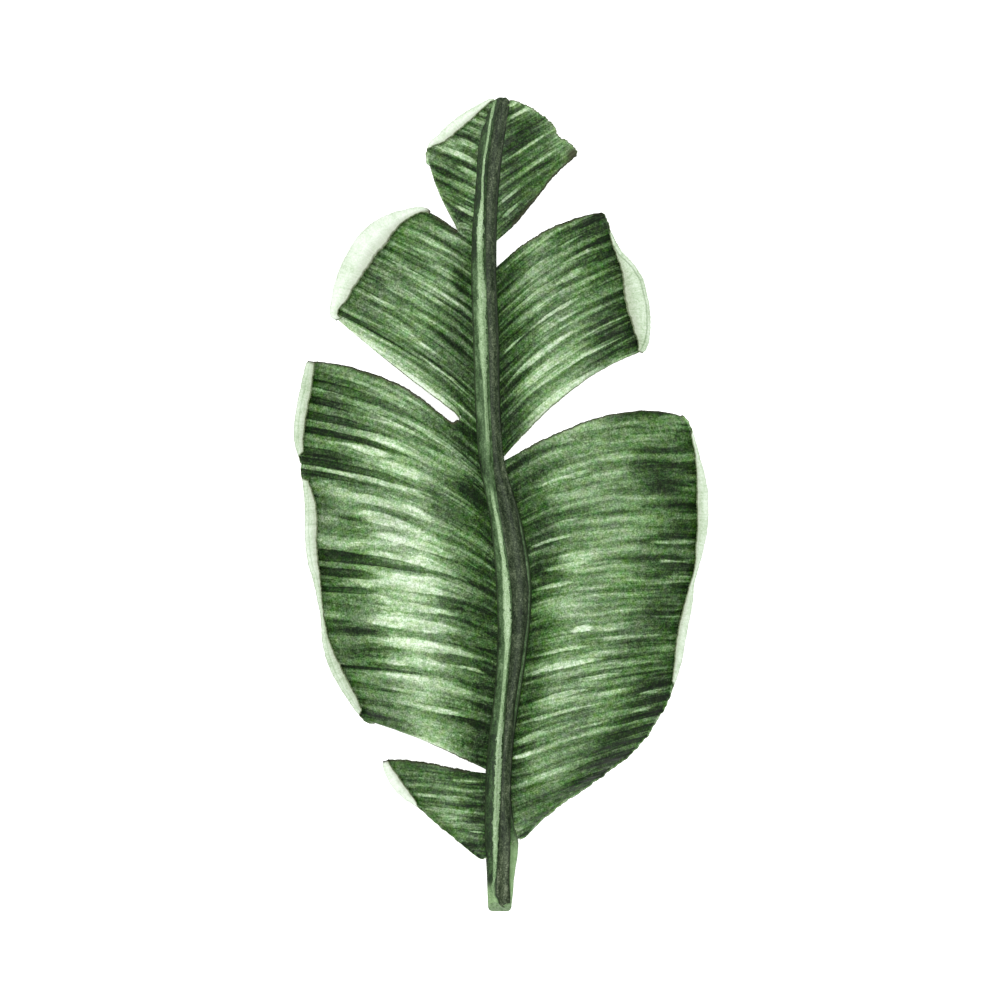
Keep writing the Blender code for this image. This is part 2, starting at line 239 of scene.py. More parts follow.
def midrib_mesh():
    """Rings along the rib and a hollowed cut face, with the places of crest, groove and flanks."""
    outline = section_outline()
    around = len(outline)
    top = outline[:, 1] > 0.5
    count = round((TIP_Y - CUT_Y) / RING_PITCH)
    points = []
    labels = ("along", "above", "crest", "pale", "left", "right", "flank", "far")
    numbers = {label: [] for label in labels}
    for ring, y in enumerate(np.linspace(CUT_Y, TIP_Y, count + 1)):
        middle, width, depth, keel = midrib_at(y)
        lean = CUT_LEAN * max(0.0, 1 - ring * RING_PITCH / (2 * CUT_LEAN))
        left = max(0.0, 1 - (TIP_Y - y) / TIP_ROUND)
        x = middle + outline[:, 0] * width * math.sqrt(1 - TIP_TAPER * left**2)
        x = x + np.interp(y, *zip(*FLARE)) * ease(outline[:, 0] * FLARE_SPREAD)
        crest_x, crest_width, pale = (np.interp(y, *np.array(CREST_LINE)[:, (0, i)].T) for i in (1, 2, 3))
        shaded_groove = [np.interp(y, *np.array(GROOVE_LINE)[:, (0, i)].T) for i in (1, 2)]
        crest = (x - crest_x) / (crest_width / 2)
        rise = CREST_RISE * pale * ease(CREST_FOOT - abs(crest)) * top
        uneven = UNEVEN_RISE * ripple(y / 9.0 + outline[:, 0] * 6, y / 4.1 - outline[:, 0] * 9) * top
        height = keel + outline[:, 1] * depth + rise * min(1.0, depth / CREST_FULL_DEPTH) + uneven
        points.extend(zip(x, y + lean * outline[:, 1] ** CUT_CURVE, height))
        row = (np.full(around, y), np.where(top, 1.0, 0.0), crest, np.full(around, pale),
               x - shaded_groove[0], shaded_groove[1] - x, x - x.min(), x.max() - x)
        for label, values in zip(numbers, row):
            numbers[label].extend(values)
    faces = []
    for ring in range(count):
        for i in range(around):
            j = (i + 1) % around
            here, far = ring * around, (ring + 1) * around
            faces.append((here + j, here + i, far + i, far + j))
    rim = np.array(points[:around])
    centre = rim.mean(0)
    start = 0
    for share in CUT_RINGS:
        shrunk = centre + (rim - centre) * share
        uneven = 1 + CUT_UNEVEN * ripple(shrunk[:, 0] * 2, shrunk[:, 2] * 3)
        shrunk[:, 1] += CUT_HOLLOW * ease((1 - share) * 4) * uneven
        first = len(points)
        points.extend(shrunk)
        for values in numbers.values():
            values.extend(values[:around])
        for i in range(around):
            j = (i + 1) % around
            faces.append((start + i, start + j, first + j, first + i))
        start = first
    faces.append(tuple(range(start, start + around)))
    faces.append(tuple(reversed(range(count * around, (count + 1) * around))))
    mesh = sheet_mesh("midrib", points, faces, numbers)
    cut = np.zeros(len(faces), np.int32)
    cut[count * around:-1] = 1
    mesh.polygons.foreach_set("material_index", cut)
    return mesh


def linear(red, green, blue):
    """Colour as a shader takes it, from the 0 to 255 values that the eye sees under this light."""
    return tuple((value / 255) ** 2.2 / LIT for value in (red, green, blue))


class Tone:
    """A socket of a node tree, so that a pattern can be written as sums and products."""

    def __init__(self, tree, socket):
        self.tree = tree
        self.socket = socket

    def node(self, kind, settings=None, values=None, out=0):
        """Any node: its settings first, then the values or links of its sockets."""
        made = self.tree.nodes.new(kind)
        for name, value in (settings or {}).items():
            if name == "stops":
                ramp = made.color_ramp
                while len(ramp.elements) < len(value):
                    ramp.elements.new(0.5)
                for element, (place, colour) in zip(ramp.elements, value):
                    element.position = place
                    element.color = (*colour, 1)
            else:
                setattr(made, name, value)
        for name, value in (values or {}).items():
            if isinstance(value, Tone):
                self.tree.links.new(value.socket, made.inputs[name])
            else:
                made.inputs[name].default_value = value
        return Tone(self.tree, made.outputs[out])

    def maths(self, operation, *others):
        return self.node("ShaderNodeMath", {"operation": operation}, dict(enumerate((self, *others))))

    def __add__(self, other):
        return self.maths("ADD", other)

    def __mul__(self, other):
        return self.maths("MULTIPLY", other)

    def __sub__(self, other):
        return self.maths("SUBTRACT", other)

    def __rsub__(self, other):
        return self * -1.0 + other

    __radd__ = __add__
    __rmul__ = __mul__

    def size(self):
        """Value without its sign."""
        return self.maths("ABSOLUTE")

    def limit(self, low=0.0, high=1.0):
        return self.node("ShaderNodeClamp", {}, {"Value": self, "Min": low, "Max": high})

    def step(self, low, high):
        """0 below low, 1 above high, smooth between."""
        return self.node("ShaderNodeMapRange", {"interpolation_type": "SMOOTHSTEP"},
                         {"Value": self, "From Min": low, "From Max": high})

    def colour(self, *stops):
        """Colours laid out over the values, each stop a place and a colour."""
        return self.node("ShaderNodeValToRGB", {"stops": stops}, {"Fac": self})

    def levels(self, *stops):
        """Grey steps laid out over the values, each stop a place and a lightness."""
        return self.colour(*((place, (value, value, value)) for place, value in stops))

    def tinted(self, hue, strength):
        """This colour with its hue turned and its strength changed by two values around 0."""
        return self.node("ShaderNodeHueSaturation", {}, {
            "Hue": hue + 0.5, "Saturation": strength + 1.0, "Color": self})

    def over(self, under, share):
        """This colour laid over another by a share."""
        return self.node("ShaderNodeMix", {"data_type": "RGBA"}, {0: share, 6: under, 7: self}, out=2)


class Finish:
    """A Principled material with its surface numbers at hand."""

    def __init__(self, name, roughness, specular):
        self.material = bpy.data.materials.new(name)
        self.material.use_nodes = True
        self.tree = self.material.node_tree
        self.shader = self.tree.nodes["Principled BSDF"]
        self.shader.inputs["Roughness"].default_value = roughness
        self.shader.inputs["Specular IOR Level"].default_value = specular
        self.any = Tone(self.tree, None)

    def number(self, label):
        return self.any.node("ShaderNodeAttribute", {"attribute_name": label}, out="Fac")

    def numbers(self, *labels):
        return [self.number(label) for label in labels]

    def grain(self, x, y, z=0.0, detail=2.0, roughness=0.5):
        """Soft noise from 0 to 1 on up to three numbers."""
        spot = self.any.node("ShaderNodeCombineXYZ", {}, {0: x, 1: y, 2: z})
        return self.any.node("ShaderNodeTexNoise", {}, {
            "Vector": spot, "Scale": 1.0, "Detail": detail, "Roughness": roughness}, out="Fac")

    def speckle(self, size_mm, detail=1.0):
        """Soft noise from 0 to 1 on the surface itself, in grains of about the given size."""
        place = self.any.node("ShaderNodeTexCoord", out="Object")
        return self.any.node("ShaderNodeTexNoise", {}, {
            "Vector": place, "Scale": 1 / (size_mm * MM), "Detail": detail}, out="Fac")

    def wear(self, colour, roughness, height=None, depth_mm=0.0):
        """Lead patterns to the shader: colour, roughness and, where there is one, a relief."""
        self.tree.links.new(colour.socket, self.shader.inputs["Base Color"])
        self.tree.links.new(roughness.socket, self.shader.inputs["Roughness"])
        if height is not None:
            bump = self.any.node("ShaderNodeBump", {}, {
                "Height": height, "Distance": depth_mm * MM, "Strength": 0.8})
            self.tree.links.new(bump.socket, self.shader.inputs["Normal"])
        return self.material


def midrib_material():
    """Groove painted dark with shade and mottled, crest line pale with a painted highlight, green flanks
    with dark outer lines and a pale underside.
    """
    finish = Finish("midrib_skin", 0.6, 0.12)
    along, above, crest, pale = finish.numbers("along", "above", "crest", "pale")
    left, right, flank, far = finish.numbers("left", "right", "flank", "far")
    grains = finish.speckle(1.4, 2.0)
    fleck = finish.grain(left * 0.4, along * 0.14, 3.0, detail=4.0, roughness=0.65)
    patch = finish.grain(left * 0.12, along * 0.04, 7.0, detail=3.0)
    fibre = finish.grain(left * 1.6, along * 0.03, detail=3.0)
    shade = ((fleck - 0.5) * 1.5 + (patch - 0.5) * 1.4 + (grains - 0.5) * 1.0 + 0.47).limit()
    # Flanks: mottled green, darker near both ends, with a dark outer line and a fresh petiole
    dim = (1 - along.step(*BASE_DIM)) * DIM_BY + along.step(*TIP_DIM) * DIM_BY
    side = (shade - dim).limit().colour(
        (0.0, linear(34, 50, 30)), (0.35, linear(58, 82, 48)), (0.6, linear(80, 106, 70)),
        (1.0, linear(122, 148, 108)))
    line = flank.step(1.2, 3.0) * far.step(1.0, 3.2)
    side = side.over(shade.colour((0.0, linear(26, 34, 24)), (1.0, linear(66, 84, 56))), line)
    petiole = 1 - along.step(*PETIOLE_ENDS)
    collar = (1 - along.step(*COLLAR_ENDS)) * (1 - left.step(-3.0, 0.0))
    fresh = (fleck * 0.8 + grains * 0.4 - 0.1).limit().colour(
        (0.1, linear(92, 122, 76)), (0.5, linear(134, 166, 116)), (0.9, linear(178, 206, 160)))
    side = fresh.over(side, (petiole * (1 - right.step(-1.5, 0.3)) + collar).limit() * 0.9)
    # Groove: painted shade, dark and mottled, and blacker shade along its sides, most of all the right one
    groove_shading = (fleck - 0.5) * 1.4 + (patch - 0.5) * 1.0 + (grains - 0.5) * 1.4 + 0.45 + petiole * 0.22
    shaded_groove = groove_shading.limit().colour(
        (0.0, linear(24, 32, 22)), (0.3, linear(44, 56, 39)), (0.55, linear(64, 76, 56)),
        (0.8, linear(90, 102, 78)), (1.0, linear(120, 130, 106)))
    shaded_wall = (right + (fleck - 0.5) * 3.0).step(0.4, 3.0) * left.step(0.1, 1.2)
    shade_black = fleck.colour((0.0, linear(20, 26, 19)), (1.0, linear(44, 54, 38)))
    shaded_groove = shaded_groove.over(shade_black, shaded_wall * 0.85 + 0.15)
    inside = left.step(-0.4, 0.5) * right.step(-0.5, 0.4)
    colour = shaded_groove.over(side, inside)
    # Crest: a broken line of painted highlight, with painted shade in dark flecks where it falls into the
    # groove
    crest_highlight = ((fleck - 0.5) * 0.9 + (grains - 0.5) * 0.9 + pale * 0.66 - 0.13).limit().colour(
        (0.0, linear(92, 122, 80)), (0.35, linear(146, 174, 130)), (0.65, linear(190, 214, 178)),
        (1.0, linear(226, 242, 218)))
    rough_edge = (fleck - 0.5) * 2.4 + (grains - 0.5) * 1.2
    on_crest = 1 - (crest.size() + rough_edge).step(0.75, 1.1)
    colour = crest_highlight.over(colour, on_crest * (pale + (patch - 0.5) * 0.5).step(0.1, 0.35))
    crest_shadow = (1 - (crest - 1.0).size().step(0.1, 0.5)) * ((grains - 0.5) + (fleck - 0.5)).step(0.05, 0.14)
    colour = shade_black.over(colour, crest_shadow * 0.85)
    # Keel: pale and finely streaked
    under = (fibre * 0.6 + patch * 0.4).colour(
        (0.2, linear(110, 138, 92)), (0.5, linear(142, 168, 118)), (0.8, linear(172, 194, 146)))
    colour = under.over(colour, 1 - above.step(0.2, 0.8))
    return finish.wear(colour, fleck * 0.2 + 0.5, fibre * 0.6 + grains * 0.5, 0.4)


def cut_material():
    """Freshly cut end: pale wet tissue around rows of air cells, sunk and darkened a little with painted
    shade.
    """
    finish = Finish("cut_tissue", 0.55, 0.15)
    place = finish.any.node("ShaderNodeTexCoord", out="Object")
    cells = finish.any.node("ShaderNodeTexVoronoi", {"feature": "DISTANCE_TO_EDGE"}, {
        "Vector": place, "Scale": CELLS_PER_METRE, "Randomness": 0.8}, out="Distance")
    # The air cells' hollows: sunk in the relief and darkened with painted shade
    sunk_cell = cells.step(0.05, 0.22)
    blot = finish.speckle(3.0, 3.0)
    colour = (blot * 1.3 - 0.24 - sunk_cell * 0.12).limit().colour(
        (0.1, linear(88, 116, 72)), (0.45, linear(128, 158, 112)), (0.75, linear(166, 192, 150)),
        (1.0, linear(200, 220, 188)))
    return finish.wear(colour, blot * 0.3 + 0.4, sunk_cell * -1.0, 0.5)


midrib = leaf_object(midrib_mesh())
midrib.data.materials.append(midrib_material())
midrib.data.materials.append(cut_material())
on_leaf(midrib)
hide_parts("banana_leaf")


# Blade: seven lobes of thin waxy tissue, pleated between their lateral veins and torn
# in from the margin. Each half arches up from the midrib and down to a rim, most of
# which has rolled up and over as it dried, showing the pale underside.
BLADE_THICKNESS = 0.8
# Where it grows from the midrib: how far in, in widths, and how high, in depths
ROOT_BITE = 0.15
ROOT_DEPTH = 0.58
SHOULDER_DEPTH = 0.72
BITE_LIMIT = 0.3            # most of a short row that the bite and the web may take
WEB_LIMIT = 0.4
# Pleats, and the arch of the wings
PLEAT_PITCH = 17.5
PLEAT_HEIGHT = 2.6
PLEAT_UNEVEN = 0.25         # how much the pleats' height varies, as a share
CREASE_HEIGHT = 0.25        # finer creases, three to a pleat
WING_UNEVEN = 0.8
CREST_AT = 0.42
FULL_WING = 130.0
DROOP_WING = 90.0
WAVE_LENGTH = 165.0
# Rolled rim
RIM_RADIUS = 1.7
RIM_SWELL = 0.11            # how much wider the roll of a broad rim is
RIM_TURN = math.radians(172)
RIM_FULL_WIDTH = 2.6
RIM_LEAST_ARC = 2.2
RIM_LEAST_FLAP = 0.9
RIM_SHARE = 0.28            # most of a row that its rim may cover
RIM_EASE = 0.14             # most that the roll changes from a row to the next
RIM_UNEVEN = 0.05
# Margin and tears
MARGIN_REACH = 0.08
ROLLED_WOBBLE = 0.5
FLAT_WOBBLE = 1.35
CORNER_ROUND = 1.8
CORNER_REACH = 5.0
SHORT_ROW = 60.0            # shorter rows have calmer edges
EDGE_FADE = 14.0
TEAR_RAG = 1.0
TEAR_FADE = 4.0
NOTCH_START = 12.0          # a notch deepens, holds and fades over these lengths along its tear
NOTCH_HOLD = 14.0
NOTCH_END = 28.0
NOTCH_FADE = 9.0
# Rows and columns of each lobe
ROWS_PER_PLEAT = 13
WEB_COLUMNS = 10
WING_COLUMNS = 56
ARC_COLUMNS = 10
FLAP_COLUMNS = 7
FLAT_COLUMNS = WEB_COLUMNS + WING_COLUMNS + 1
COLUMN_CROWDING = 1.35
VEIN_STATIONS = 160
VEIN_ROUNDS = 30
# Columns over which a tear's frayed edge starts and ends, and its faded strip starts
FRAY_START = 4
FRAY_END = 12
FADE_START = 24
# Parts of the rim where a flat margin starts to dry, and over which it gets to its worst
DRY_FROM = 0.5
DRY_OVER = 0.25
# Furrows narrow over this part of their length, to a blunt faint end
FURROW_TAPER = 0.45
FURROW_BLUNT = 0.6
FURROW_SHORT = 0.2
FURROW_FAINT = 0.35
# Marks and tones
MARK_STRETCH = 1.25         # how far a streak or patch reaches, in its own lengths
MARK_THINNING = 2.0         # how fast it thins past its end
FAR_FROM_MARKS = -9.0
PLAIN_GLEAM = 0.7
SHADE_DARKENS = 0.2
FADE_LIGHTENS = 0.4
# A lobe's painted highlight on the wing's crest changes only the tones above this
HIGHLIGHT_FROM = 0.4             # only tones above this are changed by a lobe's glow
PLAIN_BLOOM = 0.75          # whiteness of the underside away from the rim
# Inside a rolled rim: painted light, standing in for the light that comes through the thin blade
INSIDE_ROLL = 0.45          # how much paler the upper skin is
INSIDE_FURROW = 0.7         # how much of its furrows' darkness is lost
INSIDE_LENGTH = 6.0         # length of roll past its outermost line at which both are full
INSIDE_FROM = 0.06          # part of the rim where they start, and over which they grow
INSIDE_OVER = 0.14


@dataclass
class Lobe:
    """One stretch of blade between two tears; pairs and triples run from petiole to tip."""
    name: str
    side: int           # -1 left, +1 right of the midrib
    root: tuple         # Y on the midrib where the lobe starts and ends
    leaving: tuple      # slope of its rows at the midrib, degrees towards the tip
    arriving: tuple     # their slope at the margin
    margin: tuple       # plan points of the margin
    rim: tuple          # (share of the margin, visible width of the rolled rim)
    crest: tuple        # rise of the wing's crest above the midrib's shoulder
    edge: tuple         # height of the margin over the surface
    wave: float         # height of the margin's waves
    web: tuple          # length of blade along a vein that stays joined over a tear
    veins: tuple        # (Y on the midrib, a lateral vein's slope there and far out, length of its bend)
    bands: float        # pale and dark bands to a pleat
    crisp: float        # how sharp their edges are
    comb: float         # strength of the short dark strokes by the rim
    bloom: float        # how white the underside is at the rim
    # Tones carry the wing's own lightness with painted shade towards the midrib and rim and a painted
    # highlight on its crest, which the next field strengthens
    tones: tuple        # (share of the wing from midrib to rim, lightness)
    glow: tuple         # (share along the midrib, strength of the pale crest)
    dried: tuple        # width of the dried line along the lower and the upper tear
    faded: tuple        # width of the faded strip along them
    fringe: float       # how much paler the upper face is towards the rim's free edge
    tip_dry: float      # reach of the dried patch at the lower corner
    notch: tuple        # how far the tears' ends are rounded out
    # Furrows are painted shade and streaks painted highlight, lying along the veins
    furrows: tuple = () # dark furrows: Y at the margin, width, share of the wing where it ends
    streaks: tuple = () # pale streaks: middle X and Y, half length, width, lightness
    shades: tuple = ()  # soft dark patches: middle X and Y, half length, width
    rim_dry: float = 0  # how far a flat margin has dried at its free edge


LEFT_BASE = Lobe(
    name="left_base", side=-1, root=(-355, -268), leaving=(20, 12, 6), arriving=(25, 5, -7),
    margin=((-18.5, -355), (-38, -339.5), (-62, -320), (-84, -301.5), (-99, -291), (-109.5, -279),
            (-116, -266), (-118.5, -256.5)),
    rim=((0, 0), (0.49, 0), (0.59, 3), (0.65, 7), (0.71, 10), (0.78, 12), (0.87, 12), (0.95, 9), (1, 6)),
    crest=(10, 16), edge=(4, 7), wave=2, web=(10, 22),
    veins=((-355, 8, 3, 50), (-268, 8, 1, 50)), bands=1.5, crisp=0.7, comb=0.4, bloom=0.85,
    tones=((0, 0.2), (0.2, 0.32), (0.5, 0.44), (0.8, 0.4), (1, 0.35)), glow=((0, 0.5), (1, 1)),
    dried=(0, 1.6), faded=(0, 0), fringe=0, tip_dry=0, notch=(0, 0),
    streaks=((-58, -291, 30, 5, 0.66), (-24, -326, 7, 3, 0.72), (-36, -274, 15, 2.5, 0.7),
             (-50, -310, 16, 4, 0.6)),
    shades=((-36, -299, 16, 5), (-40, -269, 22, 5), (-28, -341, 14, 12), (-36, -315, 16, 3)))
LEFT_MAIN = Lobe(
    name="left_main", side=-1, root=(-266, 70), leaving=(30, 34, 36), arriving=(14, 4, 3),
    margin=((-129, -220.5), (-140.5, -211), (-155.5, -190.5), (-170, -166), (-177.5, -142), (-180, -112),
            (-186.5, -80), (-194, -50), (-196, -20), (-196.5, 8), (-199.5, 32), (-201.5, 47),
            (-205.5, 59), (-206.8, 76), (-202.5, 106), (-194.5, 145)),
    rim=((0, 0), (0.02, 0), (0.03, 3), (0.05, 6.5), (0.08, 10), (0.12, 12), (0.19, 12.7), (0.234, 10),
         (0.28, 6.5), (0.326, 3.3), (0.37, 5.3), (0.415, 8), (0.463, 11.4), (0.5, 12.7), (0.527, 12.5),
         (0.565, 14.5), (0.61, 13.5), (0.652, 9.5), (0.685, 6), (0.71, 0), (0.727, 0), (0.745, 5),
         (0.77, 9), (0.81, 11.5), (0.866, 12.5), (0.93, 12.6), (0.98, 10.5), (1, 9)),
    crest=(26, 31), edge=(0, 0), wave=4, web=(22, 25),
    veins=((-266, 18, 9, 60), (-170, 28, 1, 45), (-120, 36, 2, 50), (-60, 42, 6, 70), (0, 44, 3, 90),
           (70, 44, 3, 120)),
    bands=1.0, crisp=1.0, comb=0.6, bloom=0.55,
    tones=((0, 0.2), (0.12, 0.29), (0.28, 0.44), (0.42, 0.64), (0.6, 0.61), (0.76, 0.49), (1, 0.42)),
    glow=((0, 0.6), (0.15, 1), (0.6, 1.15), (0.78, 0.75), (0.9, 0.45), (1, 0.4)),
    dried=(1.4, 1.8), faded=(5, 0), fringe=0, tip_dry=0, notch=(0, 7.5),
    furrows=((124.5, 7.5, 0.3), (107.5, 7, 0.5), (92.5, 6, 0.45), (77.5, 5, 0.35), (56, 7, 0.7),
             (45.5, 6.5, 0.35), (34, 4.5, 0.6), (-48.5, 7.5, 0.25), (-65, 6, 0.6), (-82.5, 5, 0.65),
             (-160, 2.2, 0.3)),
    streaks=((-121, 115, 50, 4.5, 0.66), (-92, 82, 65, 5.5, 0.72), (-124, 87, 42, 6.5, 0.79),
             (-111, 64, 50, 6, 0.78), (-134, 55, 24, 9, 0.88), (-105, 41, 32, 5, 0.7),
             (-129, 26, 60, 4.5, 0.8), (-124, 4, 30, 8, 0.79), (-114, -13, 28, 8, 0.81),
             (-88, -37, 42, 9, 0.86), (-91, -55, 50, 7.5, 0.87), (-88, -71, 20, 2.5, 0.85),
             (-98, -79, 55, 9, 0.86), (-79, -101, 34, 6, 0.87), (-88, -118, 46, 10, 0.85),
             (-75, -140, 48, 9, 0.84), (-83, -158, 38, 7, 0.8), (-79, -171, 40, 5, 0.8),
             (-82, -186, 30, 2.5, 0.79), (-63, -203, 28, 6, 0.82), (-32, -162, 18, 3, 0.79)),
    shades=((-69, 59, 20, 5), (-27, 12, 12, 24), (-145, -14, 14, 5), (-49, -199, 18, 5),
            (-35, -213, 25, 5), (-22, -153, 14, 6), (-138, -205, 12, 12),
            (-134, -146, 22, 30)))
LEFT_UPPER = Lobe(
    name="left_upper", side=-1, root=(70, 257), leaving=(41, 38, 48), arriving=(43, 30, 24),
    margin=((-166, 184.5), (-170, 191.5), (-168.5, 205), (-163.5, 228), (-151, 255), (-137, 274.5),
            (-119.5, 287.5), (-98, 295), (-83, 298), (-70, 296.5)),
    rim=((0, 6), (0.07, 10), (0.17, 19), (0.28, 24), (0.4, 28), (0.545, 30), (0.66, 28), (0.757, 20),
         (0.826, 13), (0.944, 6), (1, 4)),
    crest=(27, 20), edge=(14, 9), wave=2, web=(25, 30),
    veins=((70, 46, 24, 70), (160, 40, 23, 70), (257, 30, 20, 60)),
    bands=1.3, crisp=0.75, comb=0.4, bloom=0.8,
    tones=((0, 0.25), (0.2, 0.39), (0.42, 0.51), (0.65, 0.45), (0.85, 0.4), (1, 0.34)),
    glow=((0, 0.8), (0.5, 1.1), (1, 0.7)),
    dried=(0.9, 5.0), faded=(13, 0), fringe=0, tip_dry=0, notch=(2.0, 1.0),
    furrows=((196, 6.5, 0.2),),
    streaks=((-67, 259, 16, 3, 0.72), (-79, 252, 15, 4, 0.7), (-96, 237, 17, 4, 0.74),
             (-105, 213, 15, 3, 0.76), (-71, 208, 17, 5, 0.76), (-117, 203, 15, 4, 0.74),
             (-96, 175, 22, 4, 0.76), (-71, 156, 10, 2.5, 0.8), (-82, 149, 56, 5, 0.8),
             (-60, 232, 14, 4, 0.66), (-88, 190, 18, 3.5, 0.66)),
    shades=((-41, 222, 7, 24), (-64, 285, 10, 8), (-83, 246, 10, 4), (-120, 225, 10, 5),
            (-45, 160, 14, 8)))
LEFT_TIP = Lobe(
    name="left_tip", side=-1, root=(257, 398), leaving=(43, 35, 50), arriving=(84, 36, 78),
    margin=((-71, 338), (-74, 349), (-72, 360), (-62, 370.5), (-46.5, 384.5), (-28.5, 396), (-8, 406.5)),
    rim=((0, 0), (0.13, 0), (0.2, 3), (0.3, 9), (0.46, 12), (0.6, 12), (0.745, 11), (0.885, 9.5), (1, 6)),
    crest=(13, 3), edge=(10, 19), wave=0, web=(30, 8),
    veins=((257, 30, 24, 60), (330, 25, 30, 60), (398, 20, 26, 60)),
    bands=1.25, crisp=1.0, comb=0.3, bloom=0.75,
    tones=((0, 0.38), (0.35, 0.39), (0.6, 0.39), (0.9, 0.47), (1, 0.54)), glow=((0, 1), (1, 1)),
    dried=(0.6, 0), faded=(5, 0), fringe=0.3, tip_dry=0, notch=(1.0, 0),
    streaks=((-27, 374, 7, 6, 0.68), (-32, 361, 11, 5.5, 0.72), (-40, 350, 17, 6, 0.74),
             (-32, 331, 11, 6, 0.72), (-35, 317, 16, 5, 0.7), (-34, 305, 8, 2.5, 0.78),
             (-34, 294, 11, 5.5, 0.72), (-37, 280, 10, 5, 0.62)),
    shades=((-29, 367, 9, 4), (-34, 355, 12, 5), (-38, 341, 15, 5), (-33, 323, 6, 4),
            (-36, 302, 9, 4), (-39, 289, 11, 6), (-52, 330, 12, 8)))
RIGHT_MAIN = Lobe(
    name="right_main", side=1, root=(-341, 43), leaving=(25, 24, 29), arriving=(25, -4, -16),
    margin=((21, -335), (43, -313.5), (63.5, -298), (96.5, -275.5), (132.5, -247.5), (151, -226),
            (166, -199.5), (176, -174), (182, -154), (185.5, -132), (191.5, -102), (194.5, -78),
            (199.5, -59), (205, -36), (208, -8), (207.5, 13), (204, 33), (199, 50), (193.5, 71),
            (185, 91)),
    rim=((0, 0), (0.425, 0), (0.449, 4), (0.48, 7), (0.51, 10), (0.58, 10.5), (0.613, 9), (0.635, 6.5),
         (0.661, 4), (0.693, 5), (0.718, 8.5), (0.75, 11), (0.79, 12.5), (0.83, 13), (0.86, 10.5),
         (0.89, 7.5), (0.917, 4.5), (0.955, 3), (0.975, 1), (1, 0)),
    crest=(22, 30), edge=(0, 0), wave=4, web=(10, 24),
    veins=((-330, 26, 16, 100), (-230, 22, 8, 80), (-150, 22, 0, 60), (-80, 22, -4, 60), (0, 34, -5, 80),
           (43, 38, -8, 100)),
    bands=1.2, crisp=0.4, comb=1.2, bloom=0.65,
    tones=((0, 0.18), (0.12, 0.3), (0.26, 0.53), (0.42, 0.54), (0.6, 0.47), (0.8, 0.31), (1, 0.26)),
    glow=((0, 0.7), (0.5, 1.1), (1, 0.9)),
    dried=(0, 1.2), faded=(3, 0), fringe=0.4, tip_dry=0, notch=(0, 0),
    furrows=((34, 4, 0.88), (-3, 7, 0.75), (-31, 4, 0.65), (-62, 7, 0.72), (-80, 5, 0.85),
             (-163, 1.8, 0.5), (-192, 7, 0.65), (-207, 6, 0.65), (-222, 7, 0.55), (-234, 5, 0.6),
             (-246, 6, 0.6), (-267, 6, 0.5)),
    streaks=((67, 63, 13, 3, 0.72), (62, 28, 30, 4.5, 0.76), (58, 11, 12, 2.5, 0.68), (83, 3, 14, 3, 0.66),
             (67, -14, 14, 3, 0.68), (49, -36, 24, 4, 0.82), (68, -49, 10, 3, 0.7), (70, -60, 28, 4, 0.76),
             (55, -79, 20, 4, 0.76), (172, -37, 22, 3.5, 0.7), (172, -57, 15, 2.5, 0.68),
             (179, -72, 15, 3, 0.68), (80, -122, 12, 7, 0.95), (66, -142, 28, 5, 0.86),
             (64, -159, 38, 6.5, 0.88), (96, -170, 22, 6, 0.78), (63, -187, 26, 5, 0.82),
             (58, -205, 42, 5, 0.8), (31, -231, 16, 6, 0.76), (23, -249, 11, 5, 0.8),
             (131, -131, 36, 3, 0.68), (131, -158, 38, 2.5, 0.66), (153, -186, 16, 3, 0.7),
             (143, -203, 12, 3.5, 0.7), (99, -216, 26, 2.5, 0.68)),
    shades=((150, 40, 18, 22), (165, 20, 15, 14), (58, -70, 14, 4), (150, -180, 16, 14),
            (34, -290, 14, 30)))
RIGHT_UPPER = Lobe(
    name="right_upper", side=1, root=(45, 234.5), leaving=(50, 46, 43), arriving=(20, 17, 10),
    margin=((143.5, 152), (148, 164), (149.5, 180), (149, 196), (146, 211), (142, 226), (134.5, 239),
            (119.5, 256), (110.5, 273), (104, 293.5)),
    rim=((0, 5), (0.011, 7), (0.055, 11), (0.128, 17), (0.22, 21.5), (0.287, 24), (0.388, 25),
         (0.505, 23.5), (0.604, 16), (0.724, 7), (0.81, 4), (0.89, 1), (1, 0)),
    crest=(27, 21), edge=(8, 13), wave=3, web=(25, 25),
    veins=((45, 50, 20, 70), (130, 48, 17, 70), (234, 44, 18, 70)),
    bands=1.35, crisp=0.65, comb=1.2, bloom=0.5,
    tones=((0, 0.18), (0.18, 0.31), (0.38, 0.54), (0.58, 0.52), (0.8, 0.29), (1, 0.23)),
    glow=((0, 0.8), (0.5, 1.1), (1, 0.8)),
    dried=(0.8, 1.8), faded=(8, 0), fringe=0, tip_dry=0, notch=(0, 0),
    furrows=((290, 7, 0.7), (269, 6, 0.85), (255, 7, 0.78), (244, 5, 0.85), (220, 5, 0.86), (207, 6, 0.8),
             (194, 6, 0.55), (182, 6, 0.6), (166, 5, 0.85)),
    streaks=((33, 258, 35, 3, 0.7), (69, 263, 12, 3, 0.7), (77, 249, 17, 3, 0.68),
             (33, 210, 22, 5, 0.74), (57, 195, 26, 5, 0.8), (13, 162, 9, 3.5, 0.7),
             (58, 184, 23, 4.5, 0.72), (42, 153, 32, 7.5, 0.88), (107, 179, 26, 4, 0.78),
             (48, 138, 35, 7, 0.84), (80, 147, 58, 5.5, 0.8), (60, 113, 40, 8, 0.85),
             (69, 228, 14, 10, 0.68), (38, 238, 14, 8, 0.66)),
    shades=((20, 240, 10, 10), (60, 272, 12, 6), (52, 205, 8, 4), (20, 130, 12, 5)))
